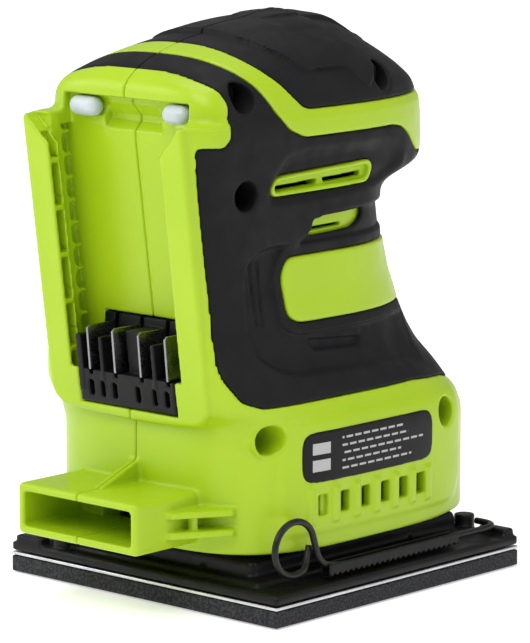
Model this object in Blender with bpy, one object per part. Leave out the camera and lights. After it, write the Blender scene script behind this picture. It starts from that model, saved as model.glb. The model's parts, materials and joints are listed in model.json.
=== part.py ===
"""A cordless palm sander: two housing halves round a motor whose eccentric drives a quarter-sheet pad.

Frame: origin at the centre of the pad's sanding face, +X forward (away from the battery mount),
+Y to the user's left, +Z up. Every size below is in millimetres; MM turns them into metres.
"""
import math

import bmesh
import bpy
from mathutils import Matrix, Vector

MM = 0.001

# ---- driving dimensions -------------------------------------------------------------------
GAP = 0.3                     # clearance between neighbouring solids
SEAM = 0.15                   # each housing half stops this far from the plane Y = 0
BODY_BOTTOM = 18.0
WALL_SKIRT = 2.8
WALL_UPPER = 4.0              # shell and overmould together
OVERMOULD = 1.5
STEPS_PER_HALF = 12

# Horizontal sections of the body, bottom to top: height, rear X, X of the widest place, front X,
# half width, squareness of the rear and of the front corners (2 is an ellipse).
SECTIONS = (
    (18.0, -57.0, -5, 56.0, 46.7, 4.2, 3.4),
    (50.0, -57.0, -5, 56.0, 46.7, 4.2, 3.4),
    (55.0, -57.2, -6, 54.8, 46.2, 4.4, 3.3),
    (58.0, -60.4, -7, 53.3, 45.5, 5.0, 3.0),
    (64.0, -61.2, -8, 51.5, 43.8, 6.0, 2.5),
    (70.0, -62.0, -8, 47.5, 41.2, 7.0, 2.3),
    (76.0, -62.9, -8, 44.0, 39.0, 8.0, 2.3),
    (84.0, -64.0, -8, 41.0, 37.0, 8.0, 2.3),
    (94.0, -65.3, -8, 37.8, 36.0, 8.0, 2.3),
    (104.0, -66.7, -8, 35.6, 35.5, 8.0, 2.3),
    (118.0, -68.6, -8, 34.2, 35.7, 8.0, 2.3),
    (121.0, -69.0, -8, 35.5, 36.0, 8.0, 2.3),
    (123.5, -69.4, -8, 42.0, 36.0, 8.0, 2.3),
    (125.3, -69.6, -8, 53.0, 36.0, 8.0, 2.3),
    (127.5, -69.9, -8, 57.0, 36.2, 8.0, 2.3),
    (132.0, -70.5, -8, 57.0, 36.5, 8.0, 2.3),
    (140.0, -71.6, -8, 55.0, 36.8, 8.0, 2.3),
    (145.2, -72.3, -8, 53.0, 36.5, 8.0, 2.3),
    (146.0, -62.2, -8, 52.7, 36.5, 4.5, 2.3),
    (151.0, -62.2, -8, 49.8, 35.8, 4.5, 2.3),
    (155.7, -61.8, -8, 43.5, 33.8, 4.0, 2.3),
    (160.0, -56.3, -7, 36.8, 30.0, 3.2, 2.3),
    (163.5, -48.0, -5, 31.0, 25.5, 2.8, 2.3),
    (166.2, -38.6, -2, 26.5, 20.5, 2.5, 2.3),
    (168.6, -25.0, 1, 22.0, 15.0, 2.3, 2.2),
    (170.5, -10.0, 5, 17.5, 9.0, 2.1, 2.1),
    (171.7, 3.0, 8, 11.0, 2.5, 2.0, 2.0),
)

# Battery mount: its floor leans back by FLOOR_LEAN mm per mm of height.
FLOOR_LEAN = 0.137
FLOOR_X = -38.5
MOUNT_X = -52.46              # rear faces of the rails, on the same slope
CHANNEL_HALF = 25.3
GROOVE_HALF = 28.5
GROOVE_DEPTH = 7.0
FLOOR_BEHIND = 2.5            # thickness of the floor
WINDOW_LOW, WINDOW_HIGH = 58.5, 85.0
BLOCK_HALF, BLOCK_TOP = 19.5, 69.0
BLADES_Y = (14.4, 4.0, -6.6, -17.4)
BLADE_THICK, BLADE_TOP = 0.8, 82.5
BUFFER_X, BUFFER_Z, BUFFER_R = -60.2, 147.5, 2.9
BUFFER_Y = (9.0, 23.0)

# Dust port, a flat duct behind the skirt.
PORT_REAR, PORT_HALF, PORT_LOW, PORT_HIGH, PORT_WALL = -83.0, 24.5, 21.0, 36.5, 1.7
PORT_WEB = ((-70.5, 24.0), (-69.7, 26.0), (-54.0, 35.0), (-50.0, 33.0), (-52.0, 24.0))
WEBS_Z, WEB_THICK = (25.4, 31.6), 1.6

# Outlines on the side of the body, as (X, Z).
OVERMOULD_EDGE = (
    (-60, 168), (-56.2, 160), (-56.6, 157.6), (-54.6, 154.6), (-53.9, 150), (-54.8, 145), (-55, 141.2),
    (-57.5, 138.7), (-66.8, 139.4), (-64.9, 124.4), (-60.6, 94.3), (-59.3, 75), (-57.9, 70.6),
    (-54, 64.3), (-47.6, 62), (18, 62), (38, 60.2), (48, 57.6), (75, 57), (75, 185), (-60, 185),
)
BAND_OUTER = (
    (-54, 175), (-47.4, 163.5), (-45.6, 160.4), (-39.6, 152.2), (-34.4, 145.8), (-30.3, 141.8),
    (-24, 139.3), (18, 139.3), (24, 138.2), (29, 135.5), (33, 131.9), (38, 129), (75, 129),
)
BAND_INNER = (
    (75, 147), (-20.7, 147.2), (-23.6, 148), (-27.3, 150.9), (-31.4, 155.1), (-35, 158.6), (-37.6, 162),
    (-38.8, 165.6), (-43, 175),
)
PATCH = ((-32.8, 99), (-29.7, 104), (75, 104), (75, 84), (-25.9, 84.4), (-30.6, 86.4))
LONG_SLOT = (
    (-37.5, 125), (-36, 127.2), (-32.8, 127.7), (7.4, 129.7), (9.2, 128), (8.1, 124), (5.6, 123),
    (-34, 122.8), (-36.8, 123.2),
)
SHORT_SLOT = ((-19.6, 110.3), (-19.1, 113.7), (4.4, 114.9), (2.5, 111.3), (-1.8, 109.9), (-17.3, 109.7))
LABEL = ((-34.5, 39.5), (-34.5, 52), (23.2, 52), (23.2, 39.5))
VENTS_X = (-28.0, -18.5, -9.0, 0.5, 10.0, 19.5)
VENT_WIDE, VENT_LOW, VENT_HIGH = 3.8, 28.0, 34.3

# Housing screws, as (X, Z), driven in from the right.
SCREWS = {
    "upper_rear": (-47.7, 152.2), "upper_front": (16.0, 154.0), "mid_rear": (-48.0, 124.0),
    "lower_rear": (-44.5, 52.3), "lower_front": (31.5, 50.8),
}
BOSS_R, BORE_R, SHANK_HOLE_R, BORE_FLOOR = 6.0, 4.8, 2.3, 24.0
SCREW_HEAD_R, SCREW_HEAD_TALL, SCREW_SHANK_R, SCREW_TIP = 3.8, 2.6, 1.9, 14.0

# Drive train, on the spindle axis.
SPINDLE_X = -0.8
ORBIT = 0.8                   # radius of the pad's orbit
SHAFT_R = 2.5
MOTOR_R, CAN_WALL, CAN_LOW, CAN_HIGH = 20.0, 1.5, 52.0, 104.0
FAN_R, FAN_LOW, FAN_HIGH, FAN_BLADES = 26.0, 41.5, 49.0, 12
PLATE_LOW, PLATE_HIGH = 37.0, 40.0
HUB_LOW, HUB_HIGH, HUB_R, PIN_R = 24.5, 34.0, 9.0, 4.0
BEARING_R, BEARING_LOW, BEARING_HIGH = 11.0, 17.0, 23.8

# Pad and paper clamps.
PAD_X, PAD_Y = 56.0, 55.0
FOAM_HIGH = 4.9
SHEET_LOW, SHEET_HIGH = 5.2, 6.2
FLANGE_LOW, FLANGE_HIGH = 6.5, 9.6
TRAY_X, TRAY_Y, TRAY_HIGH, TRAY_WALL = 47.4, 37.6, 16.2, 2.6
POST_X, POST_Y, POST_R = 36.0, 27.0, 5.0
CLAMP_Y, CLAMP_Z, WIRE_R = 50.8, 12.8, 1.0

# Switch.
SWITCH_AXIS = (28.0, 117.5)
ROCKER = (
    (26, 113.6), (34.5, 112.7), (37.2, 114.4), (36.2, 117.5), (37.2, 120.6), (34.5, 122.3), (26, 121.4),
)
ROCKER_HALF = 12.0

# Pieces that turn with the shaft, and pieces that move with the pad.
ROTOR = ("motor_shaft", "armature", "commutator", "cooling_fan", "eccentric_hub")
PAD = ("pad_carrier", "pad_bearing", "backing_sheet", "foam_pad", *(f"flex_post_{i}" for i in range(1, 5)))

GREEN = (0.36, 0.62, 0.02)
BLACK = (0.03, 0.03, 0.035)


# ---- scene and materials ------------------------------------------------------------------
def clear_scene():
    for obj in list(bpy.data.objects):
        bpy.data.objects.remove(obj)


def collection(name):
    made = bpy.data.collections.new(name)
    bpy.context.scene.collection.children.link(made)
    return made


def material(name, colour, roughness, metallic=0.0):
    made = bpy.data.materials.get(name)
    if made is None:
        made = bpy.data.materials.new(name)
        made.use_nodes = True
        shader = made.node_tree.nodes["Principled BSDF"]
        shader.inputs["Base Color"].default_value = (*colour, 1.0)
        shader.inputs["Roughness"].default_value = roughness
        shader.inputs["Metallic"].default_value = metallic
    return made


# ---- modelling helpers --------------------------------------------------------------------
def from_bmesh(mesh_data, name):
    """A new object in the parts collection from a bmesh in millimetres, with its faces pointing out."""
    bmesh.ops.recalc_face_normals(mesh_data, faces=mesh_data.faces)
    mesh_data.transform(Matrix.Scale(MM, 4))
    mesh = bpy.data.meshes.new(name)
    mesh_data.to_mesh(mesh)
    mesh_data.free()
    obj = bpy.data.objects.new(name, mesh)
    PARTS.objects.link(obj)
    return obj


def box(name, low, high, bevel=0.0):
    low, high = Vector(low), Vector(high)
    shape = bmesh.new()
    bmesh.ops.create_cube(shape, size=1.0)
    bmesh.ops.scale(shape, vec=high - low, verts=shape.verts)
    bmesh.ops.translate(shape, vec=(low + high) / 2, verts=shape.verts)
    if bevel:
        bmesh.ops.bevel(shape, geom=shape.edges[:], offset=bevel, segments=2, affect="EDGES", profile=0.5)
    return from_bmesh(shape, name)


def cylinder(name, radius, start, end, sides=32, end_radius=None):
    start, end = Vector(start), Vector(end)
    axis = end - start
    shape = bmesh.new()
    bmesh.ops.create_cone(
        shape, cap_ends=True, segments=sides, radius1=radius,
        radius2=radius if end_radius is None else end_radius, depth=axis.length,
    )
    turn = Vector((0, 0, 1)).rotation_difference(axis).to_matrix().to_4x4()
    shape.transform(Matrix.Translation((start + end) / 2) @ turn)
    return from_bmesh(shape, name)


def prism(name, outline, axis, low, high):
    """A flat outline swept along an axis. For axis Y the outline is (X, Z); for axis Z it is (X, Y)."""
    place = (lambda a, b, t: (a, t, b)) if axis == "Y" else (lambda a, b, t: (a, b, t))
    shape = bmesh.new()
    face = shape.faces.new([shape.verts.new(place(a, b, low)) for a, b in outline])
    swept = bmesh.ops.extrude_face_region(shape, geom=[face])["geom"]
    moved = [v for v in swept if isinstance(v, bmesh.types.BMVert)]
    bmesh.ops.translate(shape, vec=place(0, 0, high - low), verts=moved)
    return from_bmesh(shape, name)


def turned(name, profile, centre, sides=32):
    """A profile of (radius, height) points, closed on itself, spun round a vertical axis."""
    shape = bmesh.new()
    ring = [shape.verts.new((r, 0, z)) for r, z in profile]
    edges = [shape.edges.new((a, b)) for a, b in zip(ring, ring[1:] + ring[:1])]
    bmesh.ops.spin(
        shape, geom=ring + edges, axis=(0, 0, 1), cent=(0, 0, 0), steps=sides, angle=math.tau,
        use_merge=True,
    )
    bmesh.ops.remove_doubles(shape, verts=shape.verts, dist=1e-4)
    bmesh.ops.translate(shape, vec=(*centre, 0), verts=shape.verts)
    return from_bmesh(shape, name)


def ring(name, inner, outer, low, high, centre, sides=32):
    return turned(name, ((inner, low), (outer, low), (outer, high), (inner, high)), centre, sides)


def wire(name, points, radius):
    """A round wire through the points, in millimetres, with its capped ends welded."""
    curve = bpy.data.curves.new(name, "CURVE")
    curve.dimensions = "3D"
    curve.bevel_depth = radius * MM
    curve.bevel_resolution = 2
    curve.use_fill_caps = True
    line = curve.splines.new("POLY")
    line.points.add(len(points) - 1)
    for point, place in zip(line.points, points):
        point.co = (*(Vector(place) * MM), 1.0)
    guide = bpy.data.objects.new(name + "_guide", curve)
    PARTS.objects.link(guide)
    graph = bpy.context.evaluated_depsgraph_get()
    mesh = bpy.data.meshes.new_from_object(guide.evaluated_get(graph))
    bpy.data.objects.remove(guide)
    shape = bmesh.new()
    shape.from_mesh(mesh)
    bmesh.ops.remove_doubles(shape, verts=shape.verts, dist=1e-6)
    bmesh.ops.recalc_face_normals(shape, faces=shape.faces)
    shape.to_mesh(mesh)
    shape.free()
    made = bpy.data.objects.new(name, mesh)
    PARTS.objects.link(made)
    return made


def combine(target, other, operation):
    """Applies a Boolean of other on target and removes other."""
    modifier = target.modifiers.new(operation, "BOOLEAN")
    modifier.operation = operation
    modifier.object = other
    graph = bpy.context.evaluated_depsgraph_get()
    mesh = bpy.data.meshes.new_from_object(target.evaluated_get(graph))
    target.modifiers.clear()
    target.data = mesh
    bpy.data.objects.remove(other)
    return target


def cut(target, *others):
    for other in others:
        combine(target, other, "DIFFERENCE")
    return target


def join(target, *others):
    for other in others:
        combine(target, other, "UNION")
    return target


def finish(obj, name, look):
    """Gives the object its node name, its material and smooth shading with sharp edges kept."""
    obj.name = name
    obj.data.name = name
    obj.data.materials.clear()
    obj.data.materials.append(look)
    obj.data.shade_smooth()
    obj.data.set_sharp_from_angle(angle=math.radians(30))
    return obj


def hang_on_axis(name, place, names):
    """An empty on a joint's axis, as the parent of the pieces that turn about it."""
    axis = bpy.data.objects.new(name, None)
    axis.location = Vector(place) * MM
    axis.empty_display_size = 10 * MM
    PARTS.objects.link(axis)
    bpy.context.view_layer.update()
    for piece in names:
        bpy.data.objects[piece].parent = axis
        bpy.data.objects[piece].matrix_parent_inverse = axis.matrix_world.inverted()


def offset_outline(outline, distance):
    """The outline moved outwards by distance (inwards when negative), with mitred corners."""
    turn = sum(a[0] * b[1] - b[0] * a[1] for a, b in zip(outline, outline[1:] + outline[:1]))
    side = 1.0 if turn > 0 else -1.0
    moved = []
    for before, here, after in zip(outline[-1:] + outline[:-1], outline, outline[1:] + outline[:1]):
        first = (Vector(here) - Vector(before)).normalized()
        second = (Vector(after) - Vector(here)).normalized()
        normals = [Vector((d.y, -d.x)) * side for d in (first, second)]
        middle = (normals[0] + normals[1]).normalized()
        moved.append(tuple(Vector(here) + middle * distance / max(0.5, middle.dot(normals[0]))))
    return moved


# ---- the body's surface -------------------------------------------------------------------
def section_points(section, inset, side, rear=None, seam=SEAM):
    """Half a horizontal section, from the rear seam round the side to the front seam."""
    height, rear_x, mid_x, front_x, half, rear_power, front_power = section
    rear_x = (rear_x if rear is None else rear) + (inset if rear is None else 0.0)
    front_x, half = front_x - inset, half - inset
    points = []
    for step in range(STEPS_PER_HALF + 1):
        angle = math.pi * step / STEPS_PER_HALF
        to_rear = math.cos(angle) > 0
        power = rear_power if to_rear else front_power
        reach = mid_x - rear_x if to_rear else front_x - mid_x
        across = math.copysign(abs(math.cos(angle)) ** (2 / power), -math.cos(angle))
        x = mid_x + reach * across
        y = max(half * abs(math.sin(angle)) ** (2 / power), SEAM)
        if step in (0, STEPS_PER_HALF):
            y = seam
        points.append((x, side * y, height))
    return points


def lofted(name, rings):
    """A closed solid through equal rings of points, capped at both ends."""
    shape = bmesh.new()
    rows = [[shape.verts.new(p) for p in points] for points in rings]
    count = len(rows[0])
    for lower, upper in zip(rows, rows[1:]):
        for i in range(count):
            j = (i + 1) % count
            shape.faces.new((lower[i], lower[j], upper[j]))
            shape.faces.new((lower[i], upper[j], upper[i]))
    shape.faces.new(rows[0][::-1])
    shape.faces.new(rows[-1])
    return from_bmesh(shape, name)


def half_body(name, side, inset=0.0, below=0.0, seam=SEAM):
    """Half of the outer body, shrunk by inset and carried down by below."""
    rings = [section_points(s, inset, side, seam=seam) for s in SECTIONS]
    rings[0] = [(x, y, z - below) for x, y, z in rings[0]]
    rings[-1] = [(x, y, z - inset) for x, y, z in rings[-1]]
    if inset > 0:
        rings = [r for r in rings if r[0][2] < SECTIONS[-1][0] - inset] + rings[-1:]
    return lofted(name, rings)


def inner_rear(height):
    """Rear wall of the cavity: in front of the battery floor, and clear of the hood's recess."""
    if height < 56:
        return -57.0 + WALL_SKIRT
    if height < 139:
        return FLOOR_X - FLOOR_LEAN * height + FLOOR_BEHIND
    if height < 153:
        return -51.8
    return max(-51.8, -57.0 + (height - 153.0) * 2.0)


def half_cavity(name, side):
    """The hollow inside one housing half, open at the bottom and running across the seam."""
    rings = []
    top = SECTIONS[-1][0] - WALL_UPPER
    for section in SECTIONS:
        height = section[0]
        if height < top:
            inset = WALL_SKIRT if height < 60 else WALL_UPPER
            rings.append(section_points(section, inset, side, inner_rear(height), seam=-1.0))
    rings[0] = [(x, y, z - 1.0) for x, y, z in rings[0]]
    return lofted(name, rings)


def region(name, side, grow):
    """The zone that is overmoulded: the edge outline without the band, the patch and the slots."""
    low, high = (-1.0, 70.0) if side > 0 else (-70.0, 1.0)
    zone = prism(name, offset_outline(list(OVERMOULD_EDGE), grow), "Y", low, high)
    for index, hole in enumerate((BAND_OUTER + BAND_INNER, PATCH, LONG_SLOT, SHORT_SLOT)):
        outline = offset_outline(list(hole), -grow)
        cut(zone, prism(f"hole_{index}", outline, "Y", low - 1, high + 1))
    return zone


# ---- housing ------------------------------------------------------------------------------
def y_span(side, near, far):
    """(low, high) of a span that runs from near to far on one side of the seam."""
    return (near, far) if side > 0 else (-far, -near)


def side_box(name, side, x_span, near, far, z_span, bevel=0.0):
    low, high = y_span(side, near, far)
    return box(name, (x_span[0], low, z_span[0]), (x_span[1], high, z_span[1]), bevel)


def floor_x(height, depth=0.0):
    """X of a plane parallel to the battery floor, depth mm behind it."""
    return FLOOR_X - FLOOR_LEAN * height - depth


def battery_channel(side):
    """Cutters for the channel between the rails, the grooves beside it and the terminal window."""
    outline = [
        (floor_x(BLOCK_TOP), BLOCK_TOP), (floor_x(137.2), 137.2), (-57.3, 141), (-54.8, 143.8),
        (-54.8, 145.5), (-60.4, 151), (-90, 151), (-90, BLOCK_TOP),
    ]
    channel = prism("channel", outline, "Y", *y_span(side, -2, CHANNEL_HALF))
    groove_outline = [
        (floor_x(BLOCK_TOP + 1, 0.2), BLOCK_TOP + 1), (floor_x(138, 0.2), 138),
        (floor_x(138, GROOVE_DEPTH), 138), (floor_x(BLOCK_TOP + 1, GROOVE_DEPTH), BLOCK_TOP + 1),
    ]
    groove = prism("groove", groove_outline, "Y", *y_span(side, CHANNEL_HALF - 2, GROOVE_HALF))
    window = side_box("window", side, (-90, -36), -2, BLOCK_HALF + GAP, (WINDOW_LOW, WINDOW_HIGH))
    return channel, groove, window


def buffer_shape(name, side, radius):
    """A capsule lying along Y under the hood's lip: a ball whose two halves are moved apart."""
    low, high = y_span(side, BUFFER_Y[0] + BUFFER_R, BUFFER_Y[1] - BUFFER_R)
    shape = bmesh.new()
    bmesh.ops.create_uvsphere(shape, u_segments=20, v_segments=9, radius=radius)
    shape.transform(Matrix.Rotation(-math.pi / 2, 4, "X"))
    for vertex in shape.verts:
        vertex.co.y += high if vertex.co.y > 0 else low
    bmesh.ops.translate(shape, vec=(BUFFER_X, 0, BUFFER_Z), verts=shape.verts)
    return from_bmesh(shape, name)


def port_shell(side):
    """Half of the dust port with its gusset and the two webs that tie its side to the skirt's corner."""
    shell = side_box("port", side, (PORT_REAR, -54.8), SEAM, PORT_HALF, (PORT_LOW, PORT_HIGH))
    gusset_outline = ((-55, 43.2), (-56.1, 43.2), (-73.9, 37.2), (-73.9, 36), (-55, 36))
    gusset = prism("gusset", gusset_outline, "Y", *y_span(side, SEAM, 1.6))
    web_outline = [(x, side * y) for x, y in PORT_WEB]
    webs = [prism("web", web_outline, "Z", z, z + WEB_THICK) for z in WEBS_Z]
    return join(shell, gusset, *webs)


def port_hollow(side):
    inside = side_box(
        "port_inside", side, (PORT_REAR - 1, -57.4), -2, PORT_HALF - PORT_WALL,
        (PORT_LOW + PORT_WALL, PORT_HIGH - PORT_WALL),
    )
    window = side_box("port_window", side, (-60, -50), -2, 11, (PORT_LOW + PORT_WALL, 30.5))
    return inside, window


def screw_boss(side, x, z, surface_y):
    """A boss from the wall to the seam, and its bore: counterbored on the right, blind on the left."""
    near, far = SEAM, surface_y - (1.3 if z < 60 else WALL_UPPER - 1.0)
    boss = cylinder("boss", BOSS_R, (x, side * near, z), (x, side * far, z), 24)
    if side < 0:
        bore = cylinder("bore", BORE_R, (x, -80, z), (x, -BORE_FLOOR, z), 24)
        hole = cylinder("hole", SHANK_HOLE_R, (x, -80, z), (x, 2, z), 16)
        return boss, [bore, hole]
    return boss, [cylinder("hole", SHANK_HOLE_R, (x, -2, z), (x, SCREW_TIP + 2, z), 16)]


def half_width_at(x, z):
    """Half width of the outer body at a place on its side."""
    lower = max((s for s in SECTIONS if s[0] <= z), key=lambda s: s[0])
    upper = min((s for s in SECTIONS if s[0] > z), key=lambda s: s[0])
    share = (z - lower[0]) / (upper[0] - lower[0])
    _, rear_x, mid_x, front_x, half, rear_power, front_power = (
        a + (b - a) * share for a, b in zip(lower, upper)
    )
    reach, power = (mid_x - rear_x, rear_power) if x < mid_x else (front_x - mid_x, front_power)
    return half * max(0.0, 1 - abs((x - mid_x) / reach) ** power) ** (1 / power)


def switch_opening(side):
    return side_box("switch_opening", side, (22, 60), -2, ROCKER_HALF + 0.4, (110.8, 124.2))


def housing_half(name, side, look):
    shell = half_body("outer", side)
    recess = region("recess", side, SEAM)
    cut(recess, half_body("core", side, OVERMOULD, below=-1.0, seam=-2.0))
    cut(shell, recess)
    cut(shell, half_cavity("cavity", side))
    join(shell, port_shell(side))
    cut(shell, *battery_channel(side), *port_hollow(side))
    for x, z in SCREWS.values():
        boss, bores = screw_boss(side, x, z, half_width_at(x, z + BOSS_R))
        join(shell, boss)
        cut(shell, *bores)
    for outline in (LONG_SLOT, SHORT_SLOT):
        opening = offset_outline(list(outline), -1.3)
        cut(shell, prism("slot", opening, "Y", *y_span(side, 20, 60)))
    for x in VENTS_X:
        span = (x - VENT_WIDE / 2, x + VENT_WIDE / 2)
        cut(shell, side_box("vent", side, span, 35, 60, (VENT_LOW, VENT_HIGH)))
    cut(shell, buffer_shape("buffer_seat", side, BUFFER_R + GAP), switch_opening(side))
    return finish(shell, name, look)


def overmould_pieces(side, look):
    """The soft skin of one half: the grip round the body and the pad on the palm."""
    word = "left" if side > 0 else "right"
    skin = cut(half_body("skin", side), half_body("core", side, OVERMOULD - GAP, below=-1.0, seam=-2.0))
    combine(skin, region("zone", side, -SEAM), "INTERSECT")
    if side < 0:
        for x, z in SCREWS.values():
            cut(skin, cylinder("bore", BORE_R + 0.2, (x, -80, z), (x, -10, z), 24))
    cut(skin, switch_opening(side))
    palm = skin.copy()
    palm.data = skin.data.copy()
    PARTS.objects.link(palm)
    keep_high = prism("high", BAND_INNER[1:-1] + ((-45, 190), (75, 190), (75, 147)), "Y", -70, 70)
    keep_low = keep_high.copy()
    keep_low.data = keep_high.data.copy()
    PARTS.objects.link(keep_low)
    combine(palm, keep_high, "INTERSECT")
    combine(skin, keep_low, "DIFFERENCE")
    finish(palm, f"palm_pad_{word}", look)
    finish(skin, f"grip_{word}", look)


def rating_label(look):
    """A thin label on the right side of the skirt."""
    plate = cut(half_body("plate", -1, -0.45), half_body("under", -1, -0.12, below=1.0))
    combine(plate, prism("outline", LABEL, "Y", -70, -20), "INTERSECT")
    return finish(plate, "rating_label", look)


def housing_screw(name, x, z, look):
    """A cylinder-head screw lying along Y in the right half's counterbore."""
    seat = -BORE_FLOOR - GAP
    screw = cylinder("head", SCREW_HEAD_R, (x, seat - SCREW_HEAD_TALL, z), (x, seat, z), 20)
    join(screw, cylinder("shank", SCREW_SHANK_R, (x, seat - 0.5, z), (x, SCREW_TIP, z), 12))
    cut(screw, box("drive", (x - 2.2, seat - 4, z - 0.4), (x + 2.2, seat - 1.4, z + 0.4)))
    cut(screw, box("drive", (x - 0.4, seat - 4, z - 2.2), (x + 0.4, seat - 1.4, z + 2.2)))
    return finish(screw, name, look)


def terminal_block(look):
    """The block that carries the blades, with six small slots in its rear face."""
    top = BLOCK_TOP - GAP
    rear_low, rear_high = MOUNT_X - FLOOR_LEAN * 58.8, MOUNT_X - FLOOR_LEAN * top
    outline = ((rear_low, 58.8), (rear_high, top), (-50.3, top), (-48.6, 84.7), (-45.5, 84.7), (-45.5, 58.8))
    block = prism("block", outline, "Y", -BLOCK_HALF, BLOCK_HALF)
    for y in (14.7, 9.9, 5.1, -4.5, -11.4, -16.3):
        cut(block, box("slot", (-64, y - 0.9, 61.2), (-56, y + 0.9, 65.6)))
    return finish(block, "terminal_block", look)


def terminal_blade(name, y, look):
    low = BLOCK_TOP
    outline = ((-62.2, low), (-63.6, BLADE_TOP - 1), (-62.8, BLADE_TOP), (-49.2, BLADE_TOP), (-50.8, low))
    return finish(prism("blade", outline, "Y", y - BLADE_THICK / 2, y + BLADE_THICK / 2), name, look)


# ---- inside the housing -------------------------------------------------------------------
def motor_parts(steel, plastic, copper, magnet_look):
    axis = (SPINDLE_X, 0)
    can = turned("can", (
        (6, CAN_LOW), (MOTOR_R, CAN_LOW), (MOTOR_R, CAN_HIGH), (MOTOR_R - CAN_WALL, CAN_HIGH),
        (MOTOR_R - CAN_WALL, CAN_LOW + 2), (6, CAN_LOW + 2),
    ), axis, 40)
    finish(can, "motor_can", steel)
    end_cap = ring("cap", 7.0, MOTOR_R, CAN_HIGH + GAP, CAN_HIGH + 4.5, axis, 40)
    finish(end_cap, "motor_end_cap", plastic)
    finish(ring("bearing", 2.9, 6.7, CAN_HIGH + GAP, CAN_HIGH + 4.0, axis, 24), "upper_bearing", steel)
    finish(ring("bearing", 2.9, 6.7, CAN_LOW + 2.3, CAN_LOW + 6.0, axis, 24), "lower_bearing", steel)
    for word, side in (("left", 1), ("right", -1)):
        magnet = ring("magnet", 15.3, 18.2, 61, 91, axis, 40)
        low, high = y_span(side, 4, 30)
        combine(magnet, box("keep", (-30, low, 50), (30, high, 100)), "INTERSECT")
        finish(magnet, f"motor_magnet_{word}", magnet_look)
        brush = side_box("brush", side, (SPINDLE_X - 2.2, SPINDLE_X + 2.2), 6.4, 16, (94.5, 99.5))
        finish(brush, f"motor_brush_{word}", magnet_look)
    armature_outline = []
    for tooth in range(8):
        for share, radius in ((0.08, 14.6), (0.5, 14.6), (0.92, 14.6), (0.94, 9.5), (1.06, 9.5)):
            angle = math.tau * (tooth + share) / 8
            armature_outline.append((SPINDLE_X + radius * math.cos(angle), radius * math.sin(angle)))
    armature = prism("armature", armature_outline, "Z", 62, 90)
    finish(cut(armature, cylinder("bore", 2.8, (*axis, 50), (*axis, 100), 24)), "armature", copper)
    finish(ring("commutator", 2.8, 6.0, 93.5, 100.5, axis, 24), "commutator", copper)
    shaft = cylinder("shaft", SHAFT_R, (*axis, HUB_LOW + 3), (*axis, CAN_HIGH + 5.5), 24)
    finish(shaft, "motor_shaft", steel)


def fan(look):
    """A flat disc on a hub with straight radial blades."""
    wheel = turned("disc", (
        (2.8, FAN_LOW), (FAN_R, FAN_LOW), (FAN_R, FAN_LOW + 1.5), (7, FAN_LOW + 1.5), (7, FAN_HIGH),
        (2.8, FAN_HIGH),
    ), (SPINDLE_X, 0), 48)
    for index in range(FAN_BLADES):
        blade = box("blade", (6.5, -0.7, FAN_LOW + 1), (FAN_R - 0.5, 0.7, FAN_HIGH - 0.5))
        blade.data.transform(Matrix.Rotation(math.tau * index / FAN_BLADES, 4, "Z"))
        blade.data.transform(Matrix.Translation((SPINDLE_X * MM, 0, 0)))
        join(wheel, blade)
    return finish(wheel, "cooling_fan", look)


def eccentric_hub(look):
    """The hub on the shaft: a counterweight on one side and the off-centre pin below."""
    hub = cylinder("hub", HUB_R, (SPINDLE_X, 0, HUB_LOW), (SPINDLE_X, 0, HUB_HIGH), 32)
    weight = cylinder("weight", 19.0, (SPINDLE_X, 0, 25.5), (SPINDLE_X, 0, 31.0), 40)
    combine(weight, box("keep", (-30, -30, 20), (SPINDLE_X - 3, 30, 40)), "INTERSECT")
    pin_x = SPINDLE_X + ORBIT
    pin = cylinder("pin", PIN_R, (pin_x, 0, BEARING_LOW), (pin_x, 0, HUB_LOW + 1), 32)
    join(hub, weight, pin)
    cut(hub, cylinder("bore", SHAFT_R + GAP, (SPINDLE_X, 0, HUB_LOW + 2.6), (SPINDLE_X, 0, 40), 24))
    return finish(hub, "eccentric_hub", look)


def base_plate(look):
    """The plate across the skirt under the fan, with clearance for the hub and for the four posts."""
    outline = []
    for corner_x, corner_y, start in ((24, 20, 0), (-24, 20, 90), (-24, -20, 180), (24, -20, 270)):
        for step in range(5):
            angle = math.radians(start + 22.5 * step)
            outline.append((corner_x + 22 * math.cos(angle), corner_y + 20 * math.sin(angle)))
    plate = prism("plate", outline, "Z", PLATE_LOW, PLATE_HIGH)
    cut(plate, cylinder("middle", 13, (SPINDLE_X, 0, 30), (SPINDLE_X, 0, 50), 32))
    for x in (-POST_X, POST_X):
        for y in (-POST_Y, POST_Y):
            centre_x = x + SPINDLE_X      # the posts circle round this point
            cut(plate, cylinder("socket", POST_R + ORBIT * 2, (centre_x, y, 30), (centre_x, y, 50), 20))
    return finish(plate, "base_plate", look)


def dust_duct(look):
    """The short duct behind the port's window."""
    duct = box("duct", (-53.5, -10.5, PORT_LOW + 2), (-47, 10.5, 30.2))
    cut(duct, box("inside", (-60, -9, PORT_LOW + 3.4), (-40, 9, 28.8)))
    return finish(duct, "dust_duct", look)


def electronics(board_look, plastic, red, black):
    board = box("board", (-44, -24, 113.0), (2, 24, 114.6), 0.4)
    finish(board, "control_board", board_look)
    finish(box("body", (6, -9, 111.5), (24.5, 9, 124.0), 0.8), "switch_body", plastic)
    for word, y, look in (("red", 9.0, red), ("black", 13.0, black)):
        route = [(-43.2, y, 78), (-38, y, 84), (-33, y, 92), (-31, y, 101), (-30, y, 108), (-29.5, y, 112.4)]
        finish(wire("lead", route, 0.9), f"battery_lead_{word}", look)


def switch_rocker(look):
    return finish(prism("rocker", ROCKER, "Y", -ROCKER_HALF, ROCKER_HALF), "switch_rocker", look)


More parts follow.
